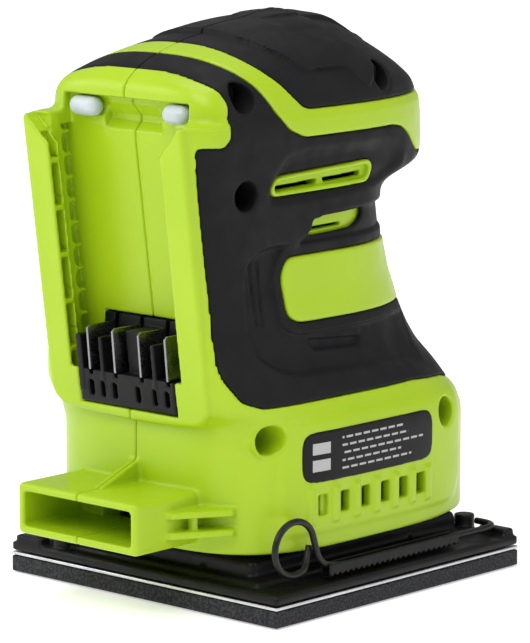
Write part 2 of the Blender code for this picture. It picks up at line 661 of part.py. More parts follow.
# ---- pad ----------------------------------------------------------------------------------
def pad_parts(rubber, foam, alloy, plastic, steel):
    finish(box("foam", (-PAD_X, -PAD_Y, 0), (PAD_X, PAD_Y, FOAM_HIGH)), "foam_pad", foam)
    finish(box("sheet", (-PAD_X, -PAD_Y, SHEET_LOW), (PAD_X, PAD_Y, SHEET_HIGH)), "backing_sheet", alloy)
    tray = box("flange", (-PAD_X, -PAD_Y, FLANGE_LOW), (PAD_X, PAD_Y, FLANGE_HIGH))
    wall = box("wall", (-TRAY_X, -TRAY_Y, FLANGE_HIGH - 0.5), (TRAY_X, TRAY_Y, TRAY_HIGH))
    inner_x, inner_y = TRAY_X - TRAY_WALL, TRAY_Y - TRAY_WALL
    cut(wall, box("hollow", (-inner_x, -inner_y, 0), (inner_x, inner_y, 40)))
    join(tray, wall, ring("boss", BEARING_R + GAP, 14.5, FLANGE_HIGH - 0.5, BEARING_HIGH, (0, 0), 32))
    for side in (-1, 1):
        x = -side * 51.5
        join(tray, cylinder("lug", 3.2, (x, side * 37, FLANGE_HIGH - 0.5), (x, side * 37, 14.4), 16))
    finish(tray, "pad_carrier", plastic)
    bearing = ring("bearing", PIN_R + GAP, BEARING_R, BEARING_LOW, BEARING_HIGH - 0.2, (0, 0), 32)
    finish(bearing, "pad_bearing", steel)
    corners = ((1, 1), (1, -1), (-1, 1), (-1, -1))
    for index, (to_front, to_left) in enumerate(corners, 1):
        post = turned("post", (
            (0.0, FLANGE_HIGH + GAP), (POST_R + 2, FLANGE_HIGH + GAP), (POST_R + 2, 13), (POST_R - 1.2, 16),
            (POST_R - 1.2, 33), (POST_R, 35), (POST_R, PLATE_HIGH), (0.0, PLATE_HIGH),
        ), (to_front * POST_X, to_left * POST_Y), 20)
        finish(post, f"flex_post_{index}", rubber)


def clamp(side, steel, plastic):
    """A paper clamp: a spring wire along the pad's edge with a finger loop, and the jaw that it presses."""
    word = "left" if side > 0 else "right"
    along = side                      # the left clamp is the right one turned half round
    loop_x, loop_z, loop_r = -43.5, 21.0, 8.4
    points = []
    for step in range(19):
        angle = math.radians(20 + 300 * step / 18)
        points.append((loop_x + loop_r * math.cos(angle), CLAMP_Y, loop_z + loop_r * math.sin(angle)))
    points += [(-33, CLAMP_Y, 16.0), (-28, CLAMP_Y, 14.0), (-22, CLAMP_Y, CLAMP_Z), (46, CLAMP_Y, CLAMP_Z)]
    points += [(49.5, CLAMP_Y - 1.2, CLAMP_Z), (51.3, CLAMP_Y - 4, CLAMP_Z), (51.5, CLAMP_Y - 9, CLAMP_Z)]
    placed = [(-along * x, side * y, z) for x, y, z in points]
    finish(wire("wire", placed, WIRE_R), f"clamp_wire_{word}", steel)
    jaw = box("jaw", (-30, side * CLAMP_Y - 1.9, CLAMP_Z - 2.3), (30, side * CLAMP_Y + 1.9, CLAMP_Z + 1.6))
    cut(jaw, box("slot", (-40, side * CLAMP_Y - 1.3, CLAMP_Z - 1.3), (40, side * CLAMP_Y + 1.3, 30)))
    finish(jaw, f"clamp_jaw_{word}", plastic)


# ---- assembly -----------------------------------------------------------------------------
def build():
    green = material("green_plastic", GREEN, 0.35)
    soft = material("black_overmould", BLACK, 0.6)
    hard_black = material("black_plastic", BLACK, 0.4)
    steel = material("steel", (0.6, 0.6, 0.62), 0.3, 1.0)
    black_steel = material("black_steel", (0.03, 0.03, 0.03), 0.4, 0.5)
    alloy = material("aluminium", (0.8, 0.8, 0.82), 0.35, 1.0)
    copper = material("copper", (0.72, 0.42, 0.25), 0.35, 1.0)
    magnet_look = material("ferrite", (0.08, 0.08, 0.09), 0.6)
    white = material("translucent_white", (0.85, 0.88, 0.9), 0.4)
    rubber = material("rubber", (0.04, 0.04, 0.04), 0.8)
    foam = material("foam", (0.05, 0.05, 0.055), 0.9)
    board_look = material("circuit_board", (0.02, 0.2, 0.08), 0.5)
    label_look = material("label", (0.02, 0.02, 0.02), 0.3)

    for side, word in ((-1, "right"), (1, "left")):
        housing_half(f"housing_{word}", side, green)
        overmould_pieces(side, soft)
        finish(buffer_shape("buffer", side, BUFFER_R), f"battery_buffer_{word}", white)
        clamp(side, black_steel, hard_black)
    for name, (x, z) in SCREWS.items():
        housing_screw(f"housing_screw_{name}", x, z, steel)
    rating_label(label_look)
    terminal_block(hard_black)
    for index, y in enumerate(BLADES_Y, 1):
        terminal_blade(f"terminal_blade_{index}", y, steel)
    motor_parts(steel, hard_black, copper, magnet_look)
    fan(hard_black)
    eccentric_hub(steel)
    base_plate(hard_black)
    dust_duct(hard_black)
    electronics(board_look, hard_black, material("red_lead", (0.6, 0.02, 0.02), 0.5), rubber)
    switch_rocker(hard_black)
    pad_parts(rubber, foam, alloy, hard_black, steel)

    hang_on_axis("spindle_axis", (SPINDLE_X, 0, HUB_HIGH), ROTOR)
    hang_on_axis("pad_axis", (SPINDLE_X + ORBIT, 0, BEARING_HIGH), PAD)
    hang_on_axis("switch_axis", (SWITCH_AXIS[0], 0, SWITCH_AXIS[1]), ("switch_rocker",))
    for word, side in (("left", 1), ("right", -1)):
        pieces = (f"clamp_wire_{word}", f"clamp_jaw_{word}")
        hang_on_axis(f"clamp_axis_{word}", (0, side * CLAMP_Y, CLAMP_Z), pieces)


clear_scene()
PARTS = collection("palm_sander")
build()
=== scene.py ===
"""The looks of a cordless palm sander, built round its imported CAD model.

The moulded parts are modelled as signed distance fields on a grid, in millimetres: negative inside.
Fields join, cut and meet with a rounding radius, which gives the fillets of moulded plastic, and
surface_nets turns a field into a mesh. Wires, plates and small parts are made with bmesh and curves.
"""
import json
import math
from functools import reduce

import bmesh
import bpy
import numpy as np
from mathutils import Matrix, Vector


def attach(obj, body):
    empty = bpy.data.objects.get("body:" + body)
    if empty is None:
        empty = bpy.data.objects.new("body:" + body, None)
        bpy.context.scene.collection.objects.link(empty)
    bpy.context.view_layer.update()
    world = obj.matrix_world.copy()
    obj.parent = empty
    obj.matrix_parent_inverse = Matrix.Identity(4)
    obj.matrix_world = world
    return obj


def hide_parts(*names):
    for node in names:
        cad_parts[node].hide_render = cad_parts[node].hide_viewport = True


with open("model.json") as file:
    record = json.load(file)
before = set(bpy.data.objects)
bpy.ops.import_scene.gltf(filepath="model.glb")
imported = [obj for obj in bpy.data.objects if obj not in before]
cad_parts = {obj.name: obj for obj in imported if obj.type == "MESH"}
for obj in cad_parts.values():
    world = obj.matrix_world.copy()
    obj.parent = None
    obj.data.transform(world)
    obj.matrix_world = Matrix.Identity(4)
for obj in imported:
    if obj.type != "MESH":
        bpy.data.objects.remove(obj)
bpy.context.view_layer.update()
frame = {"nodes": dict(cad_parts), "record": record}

MM = 0.001
STEP = 0.55          # grid spacing of the big mouldings
FINE = 0.35          # and of the small ones
SEAM = 0.07                                 # half the gap between the two halves

# ---- sizes: the CAD model's, or near them where the looks follow a fuller form ---------------
# Sections of the body: height, widest X, front X, half width, squareness of the front.
SECTIONS = np.array((
    (18.0, -5, 56.8, 46.7, 3.7), (50.0, -5, 56.8, 46.7, 3.7), (55.0, -6, 55.6, 46.2, 3.5),
    (58.0, -7, 54.6, 45.5, 3.1), (64.0, -8, 53.0, 43.8, 2.6), (70.0, -8, 49.3, 41.2, 2.3),
    (76.0, -8, 45.2, 39.0, 2.3), (84.0, -8, 41.0, 37.0, 2.3), (94.0, -8, 36.8, 36.0, 2.3),
    (104.0, -8, 33.8, 35.5, 2.3), (118.0, -8, 31.6, 35.7, 2.3), (121.0, -8, 32.6, 36.0, 2.3),
    (123.5, -8, 39.2, 36.0, 2.3), (125.3, -8, 50.4, 36.0, 2.3), (127.5, -8, 54.6, 36.2, 2.3),
    (132.0, -8, 54.9, 36.5, 2.3), (140.0, -8, 54.4, 36.8, 2.3), (146.0, -8, 53.5, 36.5, 2.3),
    (151.0, -8, 50.9, 35.8, 2.3), (155.7, -8, 44.3, 33.8, 2.3), (160.0, -7, 37.2, 30.0, 2.3),
    (163.5, -5, 31.0, 25.5, 2.3), (166.2, -2, 26.5, 20.5, 2.3), (168.6, 1, 22.0, 15.0, 2.2),
    (170.5, 5, 17.5, 9.0, 2.1), (171.7, 8, 11.0, 2.5, 2.0),
))
# Rear of the rails and of the hood: height, X, squareness.
RAIL_REAR = np.array((
    (18, -57, 3.5), (50, -57, 3.5), (56, -57.2, 3.9), (60, -60.2, 5), (64, -61.2, 6), (76, -62.9, 8),
    (146, -72.4, 8), (171.7, -75, 8),
))
HOOD_REAR = np.array((
    (18, -57, 3.5), (50, -57, 3.5), (60, -56, 5), (136, -57, 8), (142, -62.2, 7.5), (151, -62.2, 7.5),
    (154.9, -62.0, 6.0), (156.2, -60.9, 5.0), (160, -56.3, 3.6), (163.5, -48, 2.8), (166.2, -38.6, 2.5),
    (168.6, -25, 2.3), (170.5, -10, 2.1), (171.7, 3, 2.0),
))
RAIL_TOP, BODY_TOP, SKIRT_BOTTOM = 145.3, 171.7, 18.0
FLOOR_LEAN, FLOOR_X, MOUNT_X = 0.137, -38.5, -52.46
CHANNEL_HALF, LIP_HALF, LIP_DEEP, GROOVE_HALF = 25.3, 22.6, 4.7, 28.5
PORT_REAR, PORT_HALF, PORT_LOW, PORT_HIGH, PORT_WALL = -83.0, 24.5, 21.0, 36.5, 2.5
WALL, SKIN, SKIN_GAP = 2.6, 1.9, 0.14
BORE_R, BORE_FLOOR = 4.4, 24.0
SKIRT_SCREWS, RIM_TOPS = ((-44.5, 52.3), (31.5, 50.8)), (40.6, 43.8)
SCREWS = ((-47.7, 152.2), (16.0, 154.0), (-48.0, 124.0)) + SKIRT_SCREWS
VENTS_X = (-26.9, -17.6, -8.3, 0.6, 9.0, 17.1)
VENT_Z, VENT_HALF_WIDE, VENT_HALF_HIGH = 31.15, 1.9, 3.15
SCREEN_Y, SCREEN_HALF_LONG, SCREEN_HALF_THICK, SCREEN_LOW, SCREEN_HIGH = 23.7, 26.4, 0.7, 20.5, 36.4
SCREEN_FINS_X = (-25.6, -22.2, 12.9, 25.6)
RIBS_X = (-32.0, -22.2, -13.0, -3.9, 4.7, 12.9, 20.6)
LABEL_LOW, LABEL_HIGH = (-34.8, 38.5), (22.6, 53.2)

# Outlines on the side, as (X, Z).
OVERMOULD_EDGE = (
    (-60, 168), (-56.2, 160), (-56.6, 157.6), (-54.6, 154.6), (-53.9, 150), (-54.8, 145), (-55, 141.2),
    (-57.5, 138.7), (-66.8, 139.4), (-64.9, 124.4), (-60.6, 94.3), (-59.3, 75), (-57.9, 70.6),
    (-54, 64.3), (-47.6, 62), (18, 62), (38, 60.2), (48, 57.6), (75, 57), (75, 185), (-60, 185),
)
BAND_OUTER = (
    (-54, 175), (-47.4, 163.5), (-45.6, 160.4), (-39.6, 152.2), (-34.4, 145.8), (-30.3, 141.8),
    (-24, 139.3), (18, 139.3), (24, 138.2), (29, 135.5), (33, 131.9), (38, 129), (75, 129),
)
BAND_INNER = (
    (75, 147), (-20.7, 147.2), (-23.6, 148), (-27.3, 150.9), (-31.4, 155.1), (-35, 158.6), (-37.6, 162),
    (-38.8, 165.6), (-43, 175),
)
PATCH = ((-32.8, 99), (-29.7, 104), (75, 104), (75, 84), (-25.9, 84.4), (-30.6, 86.4))
LONG_SLOT = (
    (-37.7, 125), (-36.3, 127.6), (-32.8, 128.4), (7.4, 129.9), (9.2, 128), (8.1, 124), (5.6, 123),
    (-34, 122.4), (-36.9, 122.9),
)
SHORT_SLOT = ((-19.6, 110.0), (-19.1, 114.2), (7.4, 115.2), (5.9, 112.0), (1.0, 110.0), (-17.3, 109.4))
# The sunk part of the grip, the dish round the long slot, the dent under the patch, the palm's raised top.
SUNK_GRIP = (
    (-47.9, 100), (-46.2, 104.2), (-41, 107.2), (-35.4, 107.9), (-26, 107.2), (-21.3, 109.6),
    (-16.5, 113.8), (-13, 115.4), (4.4, 115.6), (30, 115.8), (30, 65.6), (5.8, 68.9), (-17.4, 69.6),
    (-30.7, 69.9), (-37.8, 71.6), (-44.6, 75.9), (-46.6, 79), (-47.8, 85),
)
SLOT_DISH = (
    (-39.5, 121), (-37.5, 128), (-31, 134), (-22, 135.6), (17, 135), (25, 131), (25, 126), (13, 122),
    (-33, 120.2),
)
DENT = ((-22.5, 78.9), (-20.3, 75.7), (-0.7, 74.5), (1.8, 77.1))
PALM_TOP = (
    (-30, 175), (-28.5, 167.7), (-26.7, 165.6), (-22.2, 162), (-20.8, 159.8), (-18.4, 158.8),
    (-11.3, 158.3), (0.2, 158.3), (7.2, 151.7), (14, 157.2), (11.6, 162.2), (7.3, 165.5), (4, 175),
)
CREST_HALF, CREST_FRONT = 9.0, 38.0
GROOVES = (((-44.8, 104), (-42.8, 85.5)), ((-41.4, 104.3), (-40.3, 84.8)))
PANEL = ((-41.6, 57.5), (-41.6, 23.0), (37, 23.0), (41, 30), (41, 57.5))


# ---- fields --------------------------------------------------------------------------------
def join(a, b, radius=0.0):
    """Both solids, with a fillet of about that radius between them."""
    if not radius:
        return np.minimum(a, b)
    near = np.maximum(radius - np.abs(a - b), 0.0) / radius
    return np.minimum(a, b) - near * near * (radius / 4)


def meet(a, b, radius=0.0):
    """What is inside both solids, with the new edge rounded."""
    return -join(-a, -b, radius)


def cut(a, b, radius=0.0):
    return meet(a, -b, radius)


def overlap(*fields):
    """What is inside all of these solids, with sharp edges."""
    return reduce(np.maximum, fields)


class Grid:
    """A block of points in millimetres, as three arrays that broadcast together."""

    def __init__(self, low, high, step):
        self.low, self.step = np.array(low, np.float32), step
        counts = [int(math.ceil((b - a) / step)) + 1 for a, b in zip(low, high)]
        steps = [np.float32(step) * np.arange(n, dtype=np.float32) for n in counts]
        x, y, z = (np.float32(a) + along for a, along in zip(low, steps))
        self.x, self.y, self.z = x[:, None, None], y[None, :, None], z[None, None, :]


def polygon_distance(points, a, b):
    """Signed distance from a flat outline, where a and b are its two broadcasting coordinates."""
    best = np.full(np.broadcast(a, b).shape, 1e9, np.float32)
    inside = np.zeros(best.shape, bool)
    for (x0, y0), (x1, y1) in zip(points, points[1:] + points[:1]):
        ex, ey = x1 - x0, y1 - y0
        along = np.clip(((a - x0) * ex + (b - y0) * ey) / (ex * ex + ey * ey), 0, 1)
        best = np.minimum(best, (a - x0 - along * ex) ** 2 + (b - y0 - along * ey) ** 2)
        if ey:
            inside ^= ((b < y0) != (b < y1)) & (a < x0 + (b - y0) * (ex / ey))
    return np.where(inside, -np.sqrt(best), np.sqrt(best)).astype(np.float32)


def softened(flat, grid, radius):
    """A side outline's field with its corners rounded, by smoothing along X and Z."""
    for _ in range(int(round((radius / grid.step) ** 2))):
        for axis in (0, 2):
            ahead, behind = np.roll(flat, -1, axis), np.roll(flat, 1, axis)
            edge = [slice(None)] * 3
            edge[axis] = 0
            behind[tuple(edge)] = flat[tuple(edge)]
            edge[axis] = -1
            ahead[tuple(edge)] = flat[tuple(edge)]
            flat = (ahead + behind + 2 * flat) / 4
    return flat


def outline(grid, points, radius=0.8):
    """An outline on the side of the body, the same all the way along Y."""
    return softened(polygon_distance(tuple(points), grid.x, grid.z), grid, radius)


def rounded_box(grid, low, high, radius):
    centre = [(a + b) / 2 for a, b in zip(low, high)]
    half = [(b - a) / 2 - radius for a, b in zip(low, high)]
    over = [np.abs(c - m) - h for c, m, h in zip((grid.x, grid.y, grid.z), centre, half)]
    outside = sum(np.maximum(o, 0) ** 2 for o in over)
    return np.sqrt(outside) + np.minimum(np.maximum(np.maximum(over[0], over[1]), over[2]), 0) - radius


def rod(grid, start, end, radius):
    """A round bar with round ends."""
    start, end = np.array(start, float), np.array(end, float)
    axis = end - start
    offset = [c - s for c, s in zip((grid.x, grid.y, grid.z), start)]
    along = np.clip(sum(o * a for o, a in zip(offset, axis)) / (axis @ axis), 0, 1)
    return np.sqrt(sum((o - along * a) ** 2 for o, a in zip(offset, axis))) - radius


def fade(distance, width):
    """1 well inside an outline and 0 outside it, turning smoothly over the width."""
    share = np.clip(0.5 - distance / width, 0, 1)
    return share * share * (3 - 2 * share)


def table_at(table, heights, blur=1.2):
    """The table's columns at these heights, smoothed along the height."""
    offsets = np.arange(-3, 4) * blur * 0.55
    weights = np.exp(-0.5 * (offsets / blur) ** 2)
    flat = heights.ravel()
    return [
        sum(w * np.interp(flat + o, table[:, 0], table[:, i]) for o, w in zip(offsets, weights))
        .astype(np.float32).reshape(heights.shape) / np.float32(weights.sum())
        for i in range(1, table.shape[1])
    ]


def barrel(grid, rear_table):
    """The body's side surface: superellipse sections whose sizes change with height."""
    mid, front, half, front_power = table_at(SECTIONS, grid.z)
    rear, rear_power = table_at(rear_table, grid.z)
    ahead = grid.x >= mid
    across = np.abs(grid.x - mid) / np.where(ahead, front - mid, mid - rear)
    power = np.where(ahead, front_power, rear_power)
    field = (across ** power + (np.abs(grid.y) / half) ** power) ** (1 / power) - 1
    steep = np.sqrt(sum(np.gradient(field, grid.step, axis=i) ** 2 for i in range(3)))
    return field / np.maximum(steep, 1e-3)


# ---- meshes --------------------------------------------------------------------------------
CORNERS = [(i, j, k) for i in (0, 1) for j in (0, 1) for k in (0, 1)]
EDGES = [
    (a, b) for a in range(8) for b in range(a + 1, 8)
    if sum(x != y for x, y in zip(CORNERS[a], CORNERS[b])) == 1
]


def surface_nets(name, field, grid, flip=False, keep=1.0):
    """A mesh of the field's zero surface: one point in each mixed cell, one face across each mixed edge."""
    field = np.pad(field.astype(np.float32), 1, constant_values=1.0)
    inside = field < 0
    cells = tuple(n - 1 for n in field.shape)
    full = np.ones(cells, bool)
    some = np.zeros(cells, bool)
    for i, j, k in CORNERS:
        part = inside[i:i + cells[0], j:j + cells[1], k:k + cells[2]]
        full &= part
        some |= part
    where = np.argwhere(some & ~full)
    number = np.full(cells, -1, np.int32)
    number[tuple(where.T)] = np.arange(len(where))
    values = [field[where[:, 0] + i, where[:, 1] + j, where[:, 2] + k] for i, j, k in CORNERS]
    total, count = np.zeros((len(where), 3)), np.zeros(len(where))
    for a, b in EDGES:
        crosses = (values[a] < 0) != (values[b] < 0)
        share = np.where(crosses, values[a] / np.where(crosses, values[a] - values[b], 1), 0)
        start, end = np.array(CORNERS[a]), np.array(CORNERS[b])
        total += crosses[:, None] * (start + share[:, None] * (end - start))
        count += crosses
    points = where + total / count[:, None]
    faces = []
    for axis in range(3):
        first, second = (axis + 1) % 3, (axis + 2) % 3
        here = [slice(1, -1)] * 3
        there = [slice(1, -1)] * 3
        here[axis], there[axis] = slice(0, -1), slice(1, None)
        low, high = inside[tuple(here)], inside[tuple(there)]
        for direction in (0, 1):
            spots = np.argwhere((low & ~high) if direction == 0 else (~low & high))
            spots[:, first] += 1
            spots[:, second] += 1
            ring = []
            for back_first, back_second in ((1, 1), (0, 1), (0, 0), (1, 0)):
                cell = spots.copy()
                cell[:, first] -= back_first
                cell[:, second] -= back_second
                ring.append(number[tuple(cell.T)])
            faces.append(np.stack(ring[::-1] if direction else ring, axis=1))
    faces = np.concatenate(faces)
    if flip:
        faces = faces[:, ::-1]
    places = (grid.low + (points - 1) * grid.step) * MM
    if flip:
        places[:, 1] *= -1
    mesh = bpy.data.meshes.new(name)
    mesh.vertices.add(len(places))
    mesh.vertices.foreach_set("co", places.astype(np.float32).ravel())
    mesh.loops.add(faces.size)
    mesh.loops.foreach_set("vertex_index", faces.astype(np.int32).ravel())
    mesh.polygons.add(len(faces))
    mesh.polygons.foreach_set("loop_start", np.arange(0, faces.size, 4, dtype=np.int32))
    mesh.update(calc_edges=True)
    made = bpy.data.objects.new(name, mesh)
    bpy.context.scene.collection.objects.link(made)
    if keep < 1.0:
        fewer = made.modifiers.new("fewer", "DECIMATE")
        fewer.ratio = keep
        apply_modifiers(made)
    made.data.shade_smooth()
    return made


def apply_modifiers(obj):
    graph = bpy.context.evaluated_depsgraph_get()
    mesh = bpy.data.meshes.new_from_object(obj.evaluated_get(graph))
    obj.modifiers.clear()
    obj.data = mesh
    return obj


def from_bmesh(name, shape, smooth_angle=35):
    bmesh.ops.recalc_face_normals(shape, faces=shape.faces)
    shape.transform(Matrix.Scale(MM, 4))
    mesh = bpy.data.meshes.new(name)
    shape.to_mesh(mesh)
    shape.free()
    mesh.shade_smooth()
    mesh.set_sharp_from_angle(angle=math.radians(smooth_angle))
    made = bpy.data.objects.new(name, mesh)
    bpy.context.scene.collection.objects.link(made)
    return made


def bevelled_box(name, low, high, bevel, segments=3):
    shape = bmesh.new()
    bmesh.ops.create_cube(shape, size=1.0)
    bmesh.ops.scale(shape, vec=Vector(high) - Vector(low), verts=shape.verts)
    bmesh.ops.translate(shape, vec=(Vector(low) + Vector(high)) / 2, verts=shape.verts)
    bmesh.ops.bevel(shape, geom=shape.edges[:], offset=bevel, segments=segments, affect="EDGES", profile=0.5)
    return from_bmesh(name, shape)


def place(piece, look, body, slot, *nodes):
    """Gives a piece its material and its body, and hides the CAD nodes it stands for. The slot argument is
    not used.
    """
    piece.data.materials.clear()
    piece.data.materials.append(look)
    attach(piece, body)
    if nodes:
        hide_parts(*nodes)
    return piece


# ---- housing -------------------------------------------------------------------------------
def depth_in_mount(grid):
    """Distance in front of the plane of the rails' rear faces."""
    return (grid.x - MOUNT_X + FLOOR_LEAN * grid.z) / math.hypot(1, FLOOR_LEAN)


def channel_cutters(grid):
    """The battery channel, its side grooves and the pockets of the rails."""
    depth = depth_in_mount(grid)
    side = [
        (FLOOR_X - FLOOR_LEAN * 69, 69), (FLOOR_X - FLOOR_LEAN * 137.4, 137.4), (-57.4, 141), (-54.8, 143.8),
        (-54.8, 145.5), (-60.4, 151), (-95, 151), (-95, 69),
    ]
    shallow = [side[0], side[1], (-58.5, 145), (-58.5, 151), (-95, 151), (-95, 69)]
    middle = meet(outline(grid, side, 0.3), grid.y - 11.5, 0.5)
    side_limit = np.where(depth > LIP_DEEP, CHANNEL_HALF, LIP_HALF + np.clip(grid.z - 136.5, 0, 8))
    wide = meet(outline(grid, shallow, 0.3), grid.y - side_limit, 0.6)
    cutter = join(middle, wide)
    tall = np.maximum(70.5 - grid.z, grid.z - 141.5)
    groove = np.maximum(np.maximum(12.5 - depth, depth - 13.9), np.maximum(grid.y - GROOVE_HALF, tall))
    cutter = join(cutter, groove, 0.4)
    stems = (grid.z - 76.7) / 6.95
    from_stem = np.abs(stems - np.round(stems)) * 6.95
    flare = 0.5 + 1.4 * np.clip((10.6 - depth) / 1.6, 0, 1) ** 2
    pocket = np.maximum(np.maximum(9.1 - depth, depth - 12.8), flare - from_stem)
    pocket = np.maximum(pocket, np.maximum(grid.y - GROOVE_HALF, tall))
    cutter = join(cutter, pocket, 0.5)
    bridge = (grid.z - 74.2) / 14.3
    from_bridge = np.abs(bridge - np.round(bridge)) * 14.3
    coring = np.maximum(np.maximum(1.1 - depth, depth - 4.1), 0.8 - from_bridge)
    coring = np.maximum(coring, np.maximum(grid.y - 27.0, np.maximum(66.0 - grid.z, grid.z - 139.5)))
    cutter = join(cutter, np.maximum(coring, 21.0 - grid.y), 0.3)
    window = np.maximum(np.maximum(grid.y - 19.8, np.maximum(58.5 - grid.z, grid.z - 85.0)), grid.x + 36)
    return join(cutter, window)


def bores(grid, radius):
    """The counterbores of the five screws, along Y."""
    found = None
    for x, z in SCREWS:
        off_axis = np.sqrt((grid.x - x) ** 2 + (grid.z - z) ** 2) - radius
        bore = np.maximum(off_axis, BORE_FLOOR - grid.y)
        found = bore if found is None else np.minimum(found, bore)
    return found


def rim_tubes(grid):
    """The raised rims of the two screw holes in the skirt."""
    found = None
    for (x, z), top in zip(SKIRT_SCREWS, RIM_TOPS):
        radius = np.hypot(grid.x - x, grid.z - z)
        tube = np.maximum(radius - BORE_R - 1.2, np.maximum(grid.y - top, 30 - grid.y))
        found = tube if found is None else np.minimum(found, tube)
    return found


def sculpted_body(grid):
    """The body without its sunk forms, the body with all its forms, and the outlines of the two slots."""
    hood = barrel(grid, HOOD_REAR)
    rails = meet(barrel(grid, RAIL_REAR), grid.z - RAIL_TOP, 1.6)
    plain = join(rails, hood, 2.5)
    depth = depth_in_mount(grid)

    corner = 6.5
    low_edge = 55.2 + 1.7 * (grid.y / 32.0) ** 2
    up = np.maximum(low_edge + corner - grid.z, 0)
    out = np.maximum(grid.y - (32.3 - corner), 0)
    flat_sides = np.maximum(grid.y - 32.3, low_edge - grid.z)
    mount = np.where((up > 0) & (out > 0), np.hypot(up, out) - corner, flat_sides)
    mount = meet(meet(mount, grid.z - RAIL_TOP, 2.0), -depth, 1.1)
    mount = np.maximum(mount, grid.x + 42)
    rim_line = fade(np.abs(grid.y - 28.8) - 0.1, 0.7) * fade(np.abs(grid.z - 66), 12) * 0.25
    plain = join(plain, mount + rim_line, 0.8)
    plain = meet(plain, grid.z - BODY_TOP, 2.0)

    # Soft forms pressed into the grip; they fade out towards the front, whose outline they keep.
    to_front = fade(grid.x - 26.0, 16.0)
    sunk = fade(outline(grid, SUNK_GRIP, 1.4), 2.1) * to_front
    dish = fade(outline(grid, SLOT_DISH, 2.0) + 1.0, 4.5)
    patch = outline(grid, PATCH, 2.2)
    rim = fade(patch - 3.6, 1.0)
    raise_patch = fade(patch, 0.8)
    dent = fade(outline(grid, DENT, 0.3), 1.1)
    press = 2.0 * sunk + 2.1 * dish - 1.1 * rim * to_front - 0.6 * raise_patch * to_front + 1.3 * dent
    for (x0, z0), (x1, z1) in GROOVES:
        share = np.clip((grid.z - z1) / (z0 - z1), 0, 1)
        line = np.abs(grid.x - (x1 + (x0 - x1) * share)) - 0.25
        press = press + 1.1 * fade(np.maximum(line, np.maximum(z1 - grid.z, grid.z - z0)), 0.9)
    long_slot, short_slot = outline(grid, LONG_SLOT, 1.2), outline(grid, SHORT_SLOT, 1.2)
    press = press - 1.0 * fade(long_slot, 0.8)
    palm = fade(outline(grid, PALM_TOP, 0.8), 0.6) * fade(150.0 - grid.z, 1.0)
    crest_half = CREST_HALF + 0.12 * (grid.x - 10.0)
    crest = np.maximum(grid.y - crest_half, np.maximum(grid.x - CREST_FRONT, 152.0 - grid.z))
    press = press - 0.9 * palm - 0.8 * fade(softened_crest(grid, crest), 0.6) * fade(-8.0 - grid.x, 8.0)
    side_panel = fade(outline(grid, PANEL, 2.0), 3.0)
    press = press - 0.8 * side_panel * fade(30.0 - grid.y, 4.0)
    outer = plain + press

    from_rib = np.minimum.reduce([np.abs(grid.x - x) for x in RIBS_X])
    rib = np.maximum(from_rib - 1.6, np.abs(grid.z - 30.8) - 5.2)
    outer = outer - 0.75 * fade(rib, 0.9) * fade(30.0 - grid.y, 4.0)
    return plain + np.maximum(press, 0), outer, long_slot, short_slot


def softened_crest(grid, crest):
    """The crest's outline with a round front end."""
    beyond = np.maximum(grid.x - (CREST_FRONT - CREST_HALF), 0)
    return np.maximum(crest, np.hypot(beyond, grid.y) - CREST_HALF - 2.0 * (beyond > 0))


def port_field(grid):
    shell = rounded_box(grid, (PORT_REAR, -60, PORT_LOW), (-52, PORT_HALF, PORT_HIGH), 1.6)
    shell = meet(shell, PORT_REAR - grid.x, 0.6)
    gusset = ((-52, 45.5), (-56.1, 43.6), (-73.9, 36.8), (-73.9, 34), (-52, 34))
    shell = join(shell, np.maximum(outline(grid, gusset, 0.2), grid.y - 1.7), 0.5)
    webs = ((-70.5, 24.0), (-69.7, 26.2), (-54.0, 36.0), (-48.0, 34.0), (-50.0, 24.0))
    plan = polygon_distance(webs, grid.x, grid.y)
    for z in (25.3, 31.3):
        shell = join(shell, np.maximum(plan, np.abs(grid.z - z) - 1.05), 0.4)
    tie = np.maximum(np.abs(grid.x + 62.0) - 0.9, np.maximum(plan + 2.0, np.abs(grid.z - 28.3) - 4.0))
    return join(shell, tie, 0.3)


def port_hollow(grid):
    low, high = PORT_LOW + PORT_WALL, PORT_HIGH - PORT_WALL
    inside = rounded_box(grid, (PORT_REAR - 20, -60, low), (-57.4, PORT_HALF - PORT_WALL, high), 1.0)
    window = rounded_box(grid, (-62, -60, low), (-48, 14, 33.0), 0.4)
    return np.minimum(inside, window)


def overmould_zone(grid, long_slot, short_slot):
    """Negative where the skin is black: the edge outline without the band, the patch and the slots."""
    zone = outline(grid, OVERMOULD_EDGE, 1.2)
    band = outline(grid, BAND_OUTER + BAND_INNER, 1.4)
    for hole in (band, outline(grid, PATCH, 2.2), long_slot, short_slot):
        zone = np.maximum(zone, -hole)
    return zone


